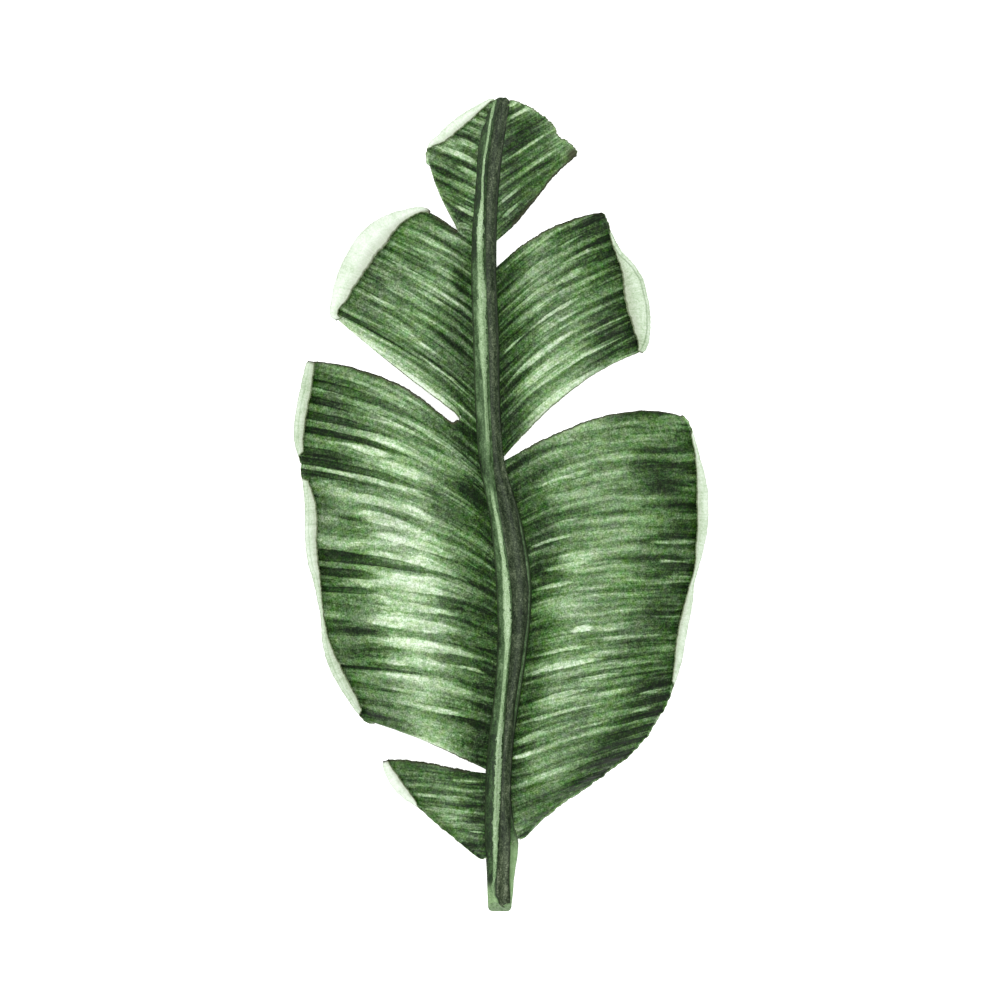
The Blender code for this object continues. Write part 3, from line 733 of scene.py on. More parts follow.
RIGHT_TIP = Lobe(
    name="right_tip", side=1, root=(262, 398), leaving=(33, 33, 50), arriving=(38, 30, 78),
    margin=((77.5, 350.5), (70.5, 361), (57.5, 370), (53, 379), (43.5, 388), (30.5, 396.5), (10, 405)),
    rim=((0, 0), (1, 0)),
    crest=(13, 3), edge=(12, 19), wave=0, web=(24, 8),
    veins=((262, 42, 40, 60), (330, 34, 30, 60), (398, 28, 26, 60)),
    bands=1.3, crisp=0.55, comb=0.3, bloom=0.8,
    tones=((0, 0.36), (0.3, 0.27), (0.6, 0.31), (0.9, 0.43), (1, 0.5)), glow=((0, 1), (1, 1)),
    dried=(3.0, 0), faded=(0, 0), fringe=0.2, tip_dry=10, notch=(0, 0), rim_dry=0.75,
    streaks=((13, 400, 6, 6, 0.72), (19, 391, 11, 4, 0.76), (31, 362, 26, 3, 0.68), (10, 310, 10, 4, 0.68),
             (9, 294, 9, 5, 0.72), (45, 348, 22, 2.5, 0.62), (57, 362, 10, 4, 0.66)),
    shades=((25, 371, 18, 18), (35, 335, 16, 6), (45, 340, 10, 4)))
# Lobes that a web of blade still joins beside the midrib stand together
BLADES = ((LEFT_BASE,), (LEFT_MAIN, LEFT_UPPER, LEFT_TIP), (RIGHT_MAIN,), (RIGHT_UPPER,), (RIGHT_TIP,))


def along(pair, share):
    """Value between the two ends of a lobe."""
    return pair[0] + (pair[1] - pair[0]) * share


def run_along(points):
    """Distance along a line of points from its first one."""
    return np.append(0.0, np.cumsum(np.linalg.norm(np.diff(points, axis=0), axis=1)))


def unit(vectors):
    """The same directions with a length of 1."""
    return vectors / np.maximum(np.linalg.norm(vectors, axis=-1, keepdims=True), 1e-9)


def margin_at(lobe, share):
    """Plan point of the margin, its outward direction and the margin's length."""
    points = np.asarray(lobe.margin, float)
    run = run_along(points)
    length = run[-1]
    run /= length
    tangent = through(run, points, share + MARGIN_REACH) - through(run, points, share - MARGIN_REACH)
    outward = unit(np.array((tangent[1], -tangent[0])) * lobe.side)
    return through(run, points, share), outward, length


def heading(lobe, slopes, share):
    """Plan direction of a row, from its slopes at the start, middle and end of the lobe."""
    angle = math.radians(through((0, 0.5, 1), slopes, share))
    return np.array((lobe.side * math.cos(angle), math.sin(angle)))


def rim_profile(width, rolled, droop):
    """Side view of the rim as (outward, up) steps from the last flat column, and its length so far."""
    radius = RIM_RADIUS + RIM_SWELL * width
    turn = RIM_TURN * rolled
    arc = max(radius * turn, RIM_LEAST_ARC) / ARC_COLUMNS
    angles = turn * (np.arange(ARC_COLUMNS) + 0.5) / ARC_COLUMNS - droop
    flap = max(RIM_LEAST_FLAP, rolled**2 * (width - radius * (1 - math.sin(droop))) / math.cos(droop))
    steps = np.append(np.full(ARC_COLUMNS, arc), np.full(FLAP_COLUMNS, flap / FLAP_COLUMNS))
    angles = np.append(angles, np.full(FLAP_COLUMNS, turn - droop))
    return np.cumsum(steps * np.cos(angles)), np.cumsum(steps * np.sin(angles)), np.cumsum(steps)


def rolled_rows(widths):
    """How far the rim has rolled over in each row, eased from one to the next."""
    rolled = [float(ease(width / RIM_FULL_WIDTH)) for width in widths]
    for order in (range(1, len(rolled)), range(len(rolled) - 2, -1, -1)):
        for i in order:
            rolled[i] = min(rolled[i], rolled[i - order.step] + RIM_EASE)
    return rolled


def wing_height(x, shoulder, crest, edge):
    """Arched side view of a wing, x from 0 at the midrib to 1 at the rim."""
    rising = shoulder + (crest - shoulder) * np.sin(math.pi / 2 * x / CREST_AT)
    falling = edge + (crest - edge) * np.cos(math.pi / 2 * (x - CREST_AT) / (1 - CREST_AT))
    return np.where(x < CREST_AT, rising, falling)


def vein_starts(lobe, x, y):
    """Y on the midrib where the lateral vein through each plan point starts, and how far out it is."""
    stations = np.linspace(MIDRIB_STATIONS[0], MIDRIB_STATIONS[-1], VEIN_STATIONS)
    sides = []
    for station in stations:
        middle, width, _, _ = midrib_at(station)
        sides.append(middle + lobe.side * width * (0.5 - ROOT_BITE))
    at, leaving, arriving, bends = np.array(lobe.veins, float).T
    start = y.copy()
    for _ in range(VEIN_ROUNDS):
        reach = np.maximum(lobe.side * (x - np.interp(start, stations, sides)), 0.0)
        leave = np.tan(np.radians(np.interp(start, at, leaving)))
        arrive = np.tan(np.radians(np.interp(start, at, arriving)))
        bend = np.interp(start, at, bends)
        rise = arrive * reach + (leave - arrive) * bend * (1 - np.exp(-reach / bend))
        start = (start + y - rise) / 2
    return start, reach


@dataclass
class Sheet:
    """Middle surface of a lobe as rows of points, with numbers for its materials."""
    lobe: Lobe
    points: np.ndarray
    vein: np.ndarray    # pleats counted up along the midrib
    band: np.ndarray    # bands of colour counted up along the midrib
    reach: np.ndarray   # distance out from the midrib, in units of 100 mm
    wing: np.ndarray    # 0 at the midrib, 1 at the rim
    rim: np.ndarray     # 0 where the rim starts to roll, 1 at its free edge
    fold: np.ndarray    # distance from the outermost line of the rolled rim
    # The tone carries painted highlight and shade, the furrows painted shade and the streaks painted
    # highlight
    tone: np.ndarray    # how light the blade is
    dry: np.ndarray     # how dried and brown it is
    furrow: np.ndarray  # distance into the nearest dark furrow, in mm
    deep: np.ndarray    # how dark that furrow is
    streak: np.ndarray  # distance into the nearest pale streak, in mm
    gleam: np.ndarray   # how light that streak is
    crisp: np.ndarray   # how sharp the bands' edges are
    comb: np.ndarray    # strength of the short dark strokes by the rim
    bloom: np.ndarray   # how white the underside is


LABELS = tuple(field.name for field in fields(Sheet) if field.name not in ("lobe", "points"))


def lobe_rows(lobe):
    """Rows of a lobe before its pleats: plan, height, and how far each point is out along the row."""
    pleats = round((lobe.root[1] - lobe.root[0]) / PLEAT_PITCH)
    fine = pleats * ROWS_PER_PLEAT
    shares = np.linspace(0, 1, fine + 1)
    uneven = 1 + RIM_UNEVEN * ripple(shares * fine / 2.3, shares * fine / 5.9)
    shows = np.interp(shares, *zip(*lobe.rim)) * uneven
    rows, outs, rims, folds = [], [], [], []
    for index, (share, width_shown, rolled) in enumerate(zip(shares, shows, rolled_rows(shows))):
        y = along(lobe.root, share)
        middle, width, depth, keel = midrib_at(y)
        root = np.array((middle + lobe.side * width * (0.5 - ROOT_BITE), y))
        tip, outward, margin_length = margin_at(lobe, share)
        long_enough = ease(np.linalg.norm(tip - root) / SHORT_ROW)
        corner = max(0.0, 1 - min(share, 1 - share) * margin_length / CORNER_REACH)
        wobble = ROLLED_WOBBLE * ripple(index / 3.1 + lobe.side, index / 1.3) * long_enough
        nick = ripple(index / 1.1 + lobe.side, index / 2.3 + 1)
        wobble += FLAT_WOBBLE * (1 - rolled) * nick * long_enough
        tip = tip + outward * (wobble - CORNER_ROUND * corner**2)
        length = np.linalg.norm(tip - root)
        shoulder = keel + SHOULDER_DEPTH * depth
        crest = shoulder + along(lobe.crest, share) * min(1.0, length / FULL_WING)
        wave = lobe.wave * (1 + math.sin(2 * math.pi * tip[1] / WAVE_LENGTH + lobe.side)) / 2
        edge = shoulder + (along(lobe.edge, share) + wave - shoulder) * min(1.0, length / DROOP_WING)
        droop = math.atan((crest - edge) * math.pi / 2 / (1 - CREST_AT) / length)
        out, up, run = rim_profile(min(width_shown, RIM_SHARE * length), rolled, droop)
        edge += BLADE_THICKNESS / 2 - min(0.0, up.min())
        base = tip - outward * out.max()
        leave, arrive = [length * heading(lobe, slopes, share) for slopes in (lobe.leaving, lobe.arriving)]
        web = min(along(lobe.web, share) / length, WEB_LIMIT)
        bite = min(width * ROOT_BITE / length, BITE_LIMIT)
        free = web + (1 - web) * np.linspace(0, 1, WING_COLUMNS + 1) ** COLUMN_CROWDING
        t = np.append(np.linspace(0, web, WEB_COLUMNS + 1)[:-1], free)
        x = (t - bite) / (1 - bite)
        inside = keel + (ROOT_DEPTH + (SHOULDER_DEPTH - ROOT_DEPTH) * t / bite) * depth
        height = np.where(t < bite, inside, wing_height(x, shoulder, crest, edge))
        uneven = WING_UNEVEN * np.sin(math.pi * t) ** 2 * ripple(y / 31.0 + t * 3, y / 17.0 - t * 5)
        flat = np.column_stack((hermite(root, base, leave, arrive, t[:, None]), height + uneven))
        turned = np.column_stack((base + np.outer(out, outward), edge + up))
        rows.append(np.vstack((flat, turned)))
        outs.append(np.append(t, np.ones(len(out))))
        rims.append(np.append(np.zeros(len(t)), np.arange(1, len(out) + 1) / len(out)))
        outermost = run[out.argmax()]
        folds.append(np.append(np.linspace(-length, -outermost, len(t)), run - outermost))
    return np.array(rows), np.array(outs), np.array(rims), np.array(folds), pleats


def lens_depth(points, vein, reach, lens):
    """How far each point is inside a mark that lies along the veins, less than 0 outside it.

    Also how far along the mark it is, 0 at the middle and 1 near an end.
    """
    x, y, half_length, width = lens[:4]
    away = np.hypot(points[:, :, 0] - x, points[:, :, 1] - y)
    middle = np.unravel_index(away.argmin(), away.shape)
    share = abs(reach - reach[middle]) / half_length / MARK_STRETCH
    half_width = width / 2 * (1 - share**2) - MARK_THINNING * np.maximum(share - 1, 0)
    return half_width - abs(vein - vein[middle]) * PLEAT_PITCH, share


def marked(lobe, points, vein, reach, out):
    """Lightness over a lobe with its painted highlight and shade, how far into its furrows of painted shade
    and its streaks of painted highlight each point is, and their strength.
    """
    glow = np.interp(np.linspace(0, 1, len(out)), *zip(*lobe.glow))[:, None]
    tone = np.interp(out, *zip(*lobe.tones))
    tone = HIGHLIGHT_FROM + (tone - HIGHLIGHT_FROM) * np.where(tone > HIGHLIGHT_FROM, glow, 1.0)
    furrow, deep = np.full(out.shape, FAR_FROM_MARKS), np.zeros(out.shape)
    for y, width, end in lobe.furrows:
        centre = np.interp(y, points[:, FLAT_COLUMNS - 1, 1], vein[:, FLAT_COLUMNS - 1])
        share = (out - end) / (1 - end)
        narrowed = (1 + FURROW_SHORT) * ease(share / FURROW_TAPER) ** FURROW_BLUNT - FURROW_SHORT
        depth = width / 2 * narrowed - abs(vein - centre) * PLEAT_PITCH
        darkness = FURROW_FAINT + (1 - FURROW_FAINT) * ease(share * 1.3)
        deep = np.where(depth > furrow, darkness, deep)
        furrow = np.maximum(furrow, depth)
    streak, gleam = np.full(out.shape, FAR_FROM_MARKS), np.full(out.shape, PLAIN_GLEAM)
    for lens in lobe.streaks:
        depth, share = lens_depth(points, vein, reach, lens)
        gleam = np.where(depth > streak, tone + (lens[4] - tone) * ease((1.1 - share) / 0.75), gleam)
        streak = np.maximum(streak, depth)
    for lens in lobe.shades:
        depth, _ = lens_depth(points, vein, reach, lens)
        tone = tone - SHADE_DARKENS * ease(0.5 + depth / lens[3])
    return tone, furrow, deep, streak, gleam


def dried(lobe, points, vein, out, rim):
    """How dry the margin is at its free edge, and at the lower corner where that has died back."""
    uneven = 0.8 + 0.4 * ripple(vein * 2.3, vein * 0.9 + 1)
    dry = lobe.rim_dry * ease((rim - DRY_FROM) / DRY_OVER) * uneven
    if lobe.tip_dry:
        corner = np.linalg.norm(points[:, :, :2] - points[0, -1, :2], axis=2)
        patch = ease(1.4 - corner / lobe.tip_dry + 0.3 * ripple(corner * 1.3, out * 40)) * 0.9
        dry = np.maximum(dry, patch)
    return dry


def torn(lobe, points, tone, dry):
    """Dry, fade and fray a lobe along its two tears, and round out the tears' ends."""
    columns = np.arange(points.shape[1])
    loose = ease((columns - WEB_COLUMNS) / FRAY_START)
    corner = ease((columns[-1] - columns) / FRAY_END)
    for k, row, inner in ((0, 0, 1), (1, -1, -2)):
        away = np.linalg.norm(points - points[row], axis=2)
        run = run_along(points[row])
        run -= run[WEB_COLUMNS]
        calm = ease(run[-1] / SHORT_ROW)
        if lobe.dried[k]:
            uneven = 1 + 0.5 * ripple(columns / 2.0 + row, columns / 4.7)
            dry = np.maximum(dry, loose * np.exp(-(away / (lobe.dried[k] * uneven)) ** 2))
        if lobe.faded[k]:
            strip = np.exp(-(away / lobe.faded[k]) ** 2)
            tone = tone + FADE_LIGHTENS * ease((columns - 2) / FADE_START) * strip
        pull = unit(points[row] - points[inner])
        rag = TEAR_RAG * ripple(columns * 1.9 + row + lobe.side, columns * 0.83 + 4) * loose * corner * calm
        past = np.maximum(run - NOTCH_HOLD, 0) / NOTCH_END
        notch = -lobe.notch[k] * ease(run / NOTCH_START) * np.exp(-past**2)
        points = points + (rag * np.exp(-(away / TEAR_FADE) ** 2))[:, :, None] * pull
        points = points + (notch * np.exp(-(away / (NOTCH_FADE + lobe.notch[k])) ** 2))[:, :, None] * pull
    return points, tone, dry


def lobe_sheet(lobe, pleats_before, bands_before):
    """A lobe with its pleats, marks and torn edges."""
    points, out, rim, fold, pleats = lobe_rows(lobe)
    start, reach = vein_starts(lobe, points[:, :, 0], points[:, :, 1])
    for values in (start, reach):
        values[:, FLAT_COLUMNS:] = values[:, FLAT_COLUMNS - 1:FLAT_COLUMNS]
    vein = (start - lobe.root[0]) / (lobe.root[1] - lobe.root[0]) * pleats
    pleat = np.cos(2 * math.pi * vein) * (1 + PLEAT_UNEVEN * ripple(vein * 1.7 + out * 2))
    crease = CREASE_HEIGHT * np.sin(2 * math.pi * vein * 3 + 2 * np.sin(out * 4))
    pleat = PLEAT_HEIGHT / 2 * pleat + crease
    points[:, :, 2] += pleat * np.where(rim > 0, 0.0, np.sin(math.pi * np.minimum(out, 1.0)))
    tone, furrow, deep, streak, gleam = marked(lobe, points, vein, reach, out)
    # Painted light inside a rolled rim, for the light through the thin blade: paler, with less painted
    # furrow shade
    inside = ease(fold.max(axis=1, keepdims=True) / INSIDE_LENGTH)
    inside = inside * ease((rim - INSIDE_FROM) / INSIDE_OVER)
    tone = tone + lobe.fringe * rim + INSIDE_ROLL * inside
    deep = deep * np.clip(1 - 2 * lobe.fringe * rim, 0, 1) * (1 - INSIDE_FURROW * inside)
    points, tone, dry = torn(lobe, points, tone, dried(lobe, points, vein, out, rim))
    bloom = PLAIN_BLOOM + (lobe.bloom - PLAIN_BLOOM) * np.minimum(rim * 3, 1)
    sheet = Sheet(
        lobe=lobe, points=points, vein=pleats_before + vein, band=bands_before + vein * lobe.bands,
        reach=reach / 100, wing=np.minimum(out, 1), rim=rim, fold=fold, tone=tone, dry=dry,
        furrow=furrow, deep=deep, streak=streak, gleam=gleam, crisp=np.full(out.shape, lobe.crisp),
        comb=np.full(out.shape, lobe.comb), bloom=bloom)
    return sheet, pleats


def blade_mesh(lobes):
    """One surface of the lobes that a web joins beside the midrib."""
    points, faces, sheets = [], [], []
    numbers = {label: [] for label in LABELS}
    last_sheet, last_index, pleats, bands, total = None, None, 0.0, 0.0, 0
    for lobe in lobes:
        sheet, count = lobe_sheet(lobe, pleats, bands)
        high, wide = sheet.wing.shape
        index = total + np.arange(high * wide).reshape(high, wide)
        if last_sheet is not None:
            shift = last_sheet.points[-1] - sheet.points[0]
            shift[WEB_COLUMNS + 1:] = 0.0
            away = np.linalg.norm(sheet.points - sheet.points[0], axis=2)
            sheet.points += shift * ease(1 - away / EDGE_FADE)[:, :, None]
            index[0, :WEB_COLUMNS + 1] = last_index[-1, :WEB_COLUMNS + 1]
        points.append(sheet.points.reshape(-1, 3))
        for label in numbers:
            numbers[label].append(getattr(sheet, label).ravel())
        here, right, far, up = index[:-1, :-1], index[:-1, 1:], index[1:, 1:], index[1:, :-1]
        order = (here, right, far, up) if lobe.side > 0 else (here, up, far, right)
        faces.append(np.stack(order, axis=-1).reshape(-1, 4))
        last_sheet, last_index, total = sheet, index, total + high * wide
        pleats += count
        bands += count * lobe.bands
        sheets.append(sheet)
    points, faces = np.vstack(points), np.vstack(faces)
    numbers = {label: np.concatenate(values) for label, values in numbers.items()}
    used = np.unique(faces)
    slot = np.zeros(len(points), int)
    slot[used] = np.arange(len(used))
    numbers = {label: values[used] for label, values in numbers.items()}
    return sheet_mesh("blade_" + lobes[0].name, points[used], slot[faces].tolist(), numbers), sheets


def upper_material(name, lift=None):
    """Upper skin: bands of dark and pale green along the veins, as crisp as each lobe has them, with
    painted shade in the pleats' furrows and painted highlight on the wings' crests.

    A lift is the name of a number on the piece that lightens it.
    """
    finish = Finish(name, 0.55, 0.12)
    vein, band, reach, wing = finish.numbers("vein", "band", "reach", "wing")
    tone, dry, furrow, crisp, combed = finish.numbers("tone", "dry", "furrow", "crisp", "comb")
    drift = finish.grain(vein * 0.5, reach * 2.2, 1.0) - 0.5
    line = band + drift * 0.5
    # Painted light and shade of the pleats: paler on their ridges, darker in their furrows
    pleat_shading = (line * (2 * math.pi)).maths("COSINE")
    broad = finish.grain(line * 1.2, reach * 1.1, 2.0, detail=1.0) - 0.5
    half_band = finish.grain(line * 2.6, reach * 1.5, 3.0, detail=1.0) - 0.5
    fine = finish.grain(line * 5.5, reach * 2.6, 4.0, detail=2.0) - 0.5
    comb = finish.grain(line * 4.2, reach * 2.2, 9.0, detail=1.0) - 0.5
    cloud = finish.grain(vein * 0.3, reach * 2.5, 5.0) - 0.5
    grains = finish.speckle(1.5, 2.0) - 0.5
    specks = finish.speckle(3.0, 2.0) - 0.5
    blots = finish.speckle(6.0, 3.0) - 0.5
    ends = (1 - reach.step(0.04, 0.45)) + wing.step(0.7, 1.0) * combed
    # Broad bands and finer lines, each in a few flat steps with an outline, or soft
    # The tone brings in each lobe's painted highlight on the wings' crests and painted shade near the
    # midrib and rim
    level = (tone - 0.5) * 0.85 + 0.5
    first = level + pleat_shading * 0.09 + broad * 0.75 + half_band * 0.45 + cloud * 0.3 + grains * 0.08
    second = level + half_band * 0.7 + fine * 0.75 + comb * ends * 0.9 + blots * 0.2 + grains * 0.12
    steps = first.limit().levels(
        (0.0, 0.05), (0.22, 0.08), (0.25, 0.25), (0.37, 0.29), (0.40, 0.45), (0.53, 0.49), (0.56, 0.64),
        (0.66, 0.68), (0.69, 0.84), (0.8, 0.88), (0.84, 0.98), (1.0, 1.0))
    lines = second.limit().levels(
        (0.0, 0.0), (0.3, 0.14), (0.335, 0.36), (0.47, 0.42), (0.505, 0.56), (0.64, 0.64), (0.67, 0.86),
        (1.0, 1.0))
    soft = first * 0.6 + second * 0.4
    sharp = steps * 0.6 + lines * 0.4
    light = sharp * crisp + soft * (1 - crisp)
    outline = 1 - (half_band + broad * 0.4).size().step(0.0, 0.022)
    light = light - outline * (0.1 + ends * 0.1) * (cloud + 0.55).limit()
    # Streaks of painted highlight, then furrows dark with painted shade and a darker edge
    deep, streak, gleam = finish.numbers("deep", "streak", "gleam")
    lit = (streak + fine * 4.5 + comb * 3.0 + broad * 2.0 + specks).step(-0.9, 0.9) * 0.82
    light = light * (1 - lit) + (gleam + fine * 0.45 + half_band * 0.35 + blots * 0.2) * lit
    depth = furrow + fine * 4.0 + broad * 2.0
    furrow_shadow = depth.step(-0.6, 0.6) * deep
    edge = (1 - (depth - 0.3).size().step(0.2, 1.5)) * deep
    light = light * (1 - furrow_shadow * 0.58) - edge * 0.12
    light = light + grains * 0.42 + specks * 0.2 + blots * 0.2
    if lift:
        light = light + finish.number(lift)
    # Lightness to greens of uneven hue, and brown where the blade has dried
    colour = light.limit().colour(
        (0.0, linear(16, 28, 12)), (0.16, linear(36, 56, 27)), (0.34, linear(66, 93, 53)),
        (0.52, linear(104, 133, 89)), (0.7, linear(146, 175, 131)), (0.86, linear(190, 214, 176)),
        (1.0, linear(228, 244, 220)))
    turn = (finish.speckle(7.0, 3.0) - 0.5) * 0.09
    strength = (finish.speckle(4.5, 3.0) - 0.5) * 1.3 + cloud * 0.6
    colour = colour.tinted(turn, strength)
    brown = (fine + 0.5).colour((0.2, linear(30, 34, 24)), (0.8, linear(80, 80, 58)))
    colour = brown.over(colour, dry.limit())
    relief = finish.grain(line * 20.0, reach * 6.0, 6.0, detail=2.0)
    return finish.wear(colour, fine * 0.4 + 0.5, relief * 0.5 + light * 0.4 + grains * 0.5, 0.3)


def under_material():
    """Underside: a pale waxy bloom with faint threads between the veins, greyer towards its free edge."""
    finish = Finish("blade_under", 0.65, 0.12)
    vein, reach, rim = finish.numbers("vein", "reach", "rim")
    fold, dry, bloom = finish.numbers("fold", "dry", "bloom")
    thread = finish.grain(vein * 12.0, reach * 4.0, 4.0, detail=3.0)
    cloud = finish.grain(vein * 0.8, reach * 5.0, rim * 3.0)
    grains = finish.speckle(1.6, 2.0)
    mottle = finish.speckle(2.6, 3.0)
    wax = (thread - 0.5) * 0.4 + (cloud - 0.5) * 0.8 + (grains - 0.5) * 0.7 + (mottle - 0.5) * 0.5 + bloom
    wax = wax.limit().colour(
        (0.1, linear(132, 158, 118)), (0.3, linear(168, 190, 156)), (0.5, linear(196, 215, 186)),
        (0.7, linear(216, 231, 209)), (1.0, linear(238, 247, 234)))
    shade = thread.colour((0.2, linear(120, 128, 104)), (0.8, linear(176, 184, 160)))
    inner = rim.step(0.72, 0.98) * (cloud + 0.2).limit() * 0.75
    colour = shade.over(wax, inner)
    brown = thread.colour((0.2, linear(48, 54, 38)), (0.8, linear(98, 98, 74)))
    green = thread.colour((0.2, linear(70, 94, 58)), (0.8, linear(130, 156, 114)))
    # A darker line of painted shade along the roll's outermost line, green where the wax is thin, and there
    # a green crease beside it
    waxless = 1 - bloom.step(0.5, 0.6)
    outline = (1 - fold.size().step(1.0, 2.4)) * (0.35 + cloud * 0.5) * (1.9 - bloom * 2.1)
    colour = green.over(shade, waxless * 0.8).over(colour, outline)
    crease = (1 - (fold + cloud * 2.0 - 7.5).size().step(0.3, 1.3)) * waxless
    colour = green.over(colour, crease * (grains * 1.6 - 0.3).limit())
    edge = rim.step(0.955, 0.99) * 0.7
    colour = brown.over(colour, (dry + edge).limit())
    return finish.wear(colour, thread * 0.2 + 0.55, thread * 0.6 + grains * 0.4, 0.2)


def edge_material():
    """Bare edge of the blade, dried to a brown line."""
    finish = Finish("blade_edge", 0.7, 0.2)
    vein, wing = finish.numbers("vein", "wing")
    thread = finish.grain(vein * 9.0, wing * 30.0, 4.0, detail=3.0)
    colour = thread.colour((0.3, linear(50, 54, 38)), (0.7, linear(112, 116, 84)))
    return finish.wear(colour, thread * 0.2 + 0.6, thread, 0.2)


def settled(obj):
    """Keep what its modifiers make of an object as its plain mesh, and take them off."""
    bpy.context.view_layer.update()
    mesh = bpy.data.meshes.new_from_object(obj.evaluated_get(bpy.context.evaluated_depsgraph_get()))
    mesh.name = obj.name
    obj.modifiers.clear()
    obj.data = mesh


upper, under, bare_edge = upper_material("blade_upper"), under_material(), edge_material()
blade_sheets = []
for lobes in BLADES:
    surface, sheets = blade_mesh(lobes)
    for material in (upper, under, bare_edge):
        surface.materials.append(material)
    blade = leaf_object(surface)
    skin = blade.modifiers.new("thickness", "SOLIDIFY")
    skin.thickness = BLADE_THICKNESS * MM
    skin.offset = 0.0
    skin.material_offset = 1
    skin.material_offset_rim = 2
    settled(blade)
    on_leaf(blade)
    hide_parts("banana_leaf")
    blade_sheets.extend(sheets)


# Lateral veins: fine threads of tougher tissue that grow in the blade from the midrib to
# the margin. They stand a little proud of the upper face, painted dark with shade in the
# furrows and pale with light on the ridges, and rather more of the underside.
VEINS_PER_PLEAT = 4
RIBS_PER_PLEAT = 2
VEIN_OFFSET = 0.2           # middle of a vein off the blade's middle surface
VEIN_RADIUS = 0.3
RIB_RADIUS = 0.36           # on the underside
# Painted light and shade of the veins: lighter on a pleat's ridge, darker in its furrow
VEIN_LIGHT_AND_SHADE = (0.07, -0.05, -0.12, -0.05)    # lightness of the four veins of a pleat, from its ridge up
VEIN_SIDES = 4
VEIN_UNEVENNESS = 0.3
UNEVEN_PER_METRE = 600.0
FIRST_COLUMN = 5
VEIN_MARGIN = 0.06          # least part of a pleat between a vein and a tear
CLEAR_OF_TABLE = 1.35       # least height of a thread's middle, in radii


def new_tree(name, result, **kinds):
    """A node tree with named inputs of the given kinds and one shape as its result."""
    tree = bpy.data.node_groups.new(name, "GeometryNodeTree")
    for label, kind in kinds.items():
        tree.interface.new_socket(label, in_out="INPUT", socket_type="NodeSocket" + kind)
    tree.interface.new_socket(result, in_out="OUTPUT", socket_type="NodeSocketGeometry")
    given = tree.nodes.new("NodeGroupInput")
    return tree, {label: Tone(tree, given.outputs[label]) for label in kinds}


def finished(tree, shape, skin):
    """End a tree with real geometry in its material."""
    real = shape.node("GeometryNodeRealizeInstances", {}, {"Geometry": shape})
    painted = real.node("GeometryNodeSetMaterial", {}, {"Geometry": real, "Material": skin})
    tree.links.new(painted.socket, tree.nodes.new("NodeGroupOutput").inputs[0])
    return tree


def tube_tree():
    """Turns lines into tubes as thick as the lines' own numbers say, a little uneven."""
    tree, given = new_tree("tubes_along_lines", "Tubes",
                           Lines="Geometry", Sides="Int", Unevenness="Float", Skin="Material")
    new = Tone(tree, None).node
    curve = new("GeometryNodeMeshToCurve", {}, {"Mesh": given["Lines"]})
    ring = new("GeometryNodeCurvePrimitiveCircle", {}, {"Resolution": given["Sides"], "Radius": MM})
    thick = new("GeometryNodeInputNamedAttribute", {}, {"Name": "thick"}, out="Attribute")
    noise = new("ShaderNodeTexNoise", {}, {"Scale": UNEVEN_PER_METRE}, out="Fac")
    tube = new("GeometryNodeCurveToMesh", {}, {
        "Curve": curve, "Profile Curve": ring, "Fill Caps": True,
        "Scale": thick * noise.maths("MULTIPLY_ADD", given["Unevenness"], 1.0)})
    return finished(tree, tube, given["Skin"])


def grown(obj, tree, **values):
    """Run a node tree on an object, keep its result as a plain mesh and put it on the leaf."""
    modifier = obj.modifiers.new("growth", "NODES")
    modifier.node_group = tree
    for socket in tree.interface.items_tree:
        if socket.in_out == "INPUT" and socket.name in values:
            modifier[socket.identifier] = values[socket.name]
    obj.update_tag()
    settled(obj)
    obj.data.shade_smooth()
    on_leaf(obj)


def upper_side(sheet):
    """Direction that the upper face looks in, at each point of a sheet."""
    outward = np.gradient(sheet.points, axis=1)
    onward = np.gradient(sheet.points, axis=0)
    return unit(np.cross(outward, onward) * sheet.lobe.side)


def vein_lines(name, sheets, per_pleat, offset, thick, lifts):
    """Lines at even steps of the pleats, off the blade's middle surface by the offset."""
    points, edges, rows_of_numbers = [], [], []
    for sheet in sheets:
        last_flat, wide = FLAT_COLUMNS - 1, sheet.vein.shape[1]
        columns = np.append(np.arange(FIRST_COLUMN, last_flat, 2), np.arange(last_flat, wide))
        steady = np.maximum.accumulate(sheet.vein, axis=0)
        layers = [sheet.points + upper_side(sheet) * offset]
        layers += [getattr(sheet, label)[:, :, None] for label in LABELS]
        layers = np.concatenate(layers, axis=2)
        rows = np.arange(len(steady))
        steps = range(math.ceil(steady.min() * per_pleat), math.floor(steady.max() * per_pleat) + 1)
        for step in steps:
            target = step / per_pleat
            before = None
            for column in columns:
                if not steady[0, column] + VEIN_MARGIN < target < steady[-1, column] - VEIN_MARGIN:
                    before = None
                    continue
                row = np.interp(target, steady[:, column], rows)
                low = min(int(row), len(rows) - 2)
                here = layers[low, column] + (layers[low + 1, column] - layers[low, column]) * (row - low)
                if before is not None:
                    edges.append((before, len(points)))
                before = len(points)
                here[2] = max(here[2], thick * CLEAR_OF_TABLE)
                points.append(here[:3])
                rows_of_numbers.append((*here[3:], thick, lifts[step % len(lifts)]))
    numbers = dict(zip((*LABELS, "thick", "lift"), np.array(rows_of_numbers).T))
    return leaf_object(sheet_mesh(name, points, [], numbers, edges))


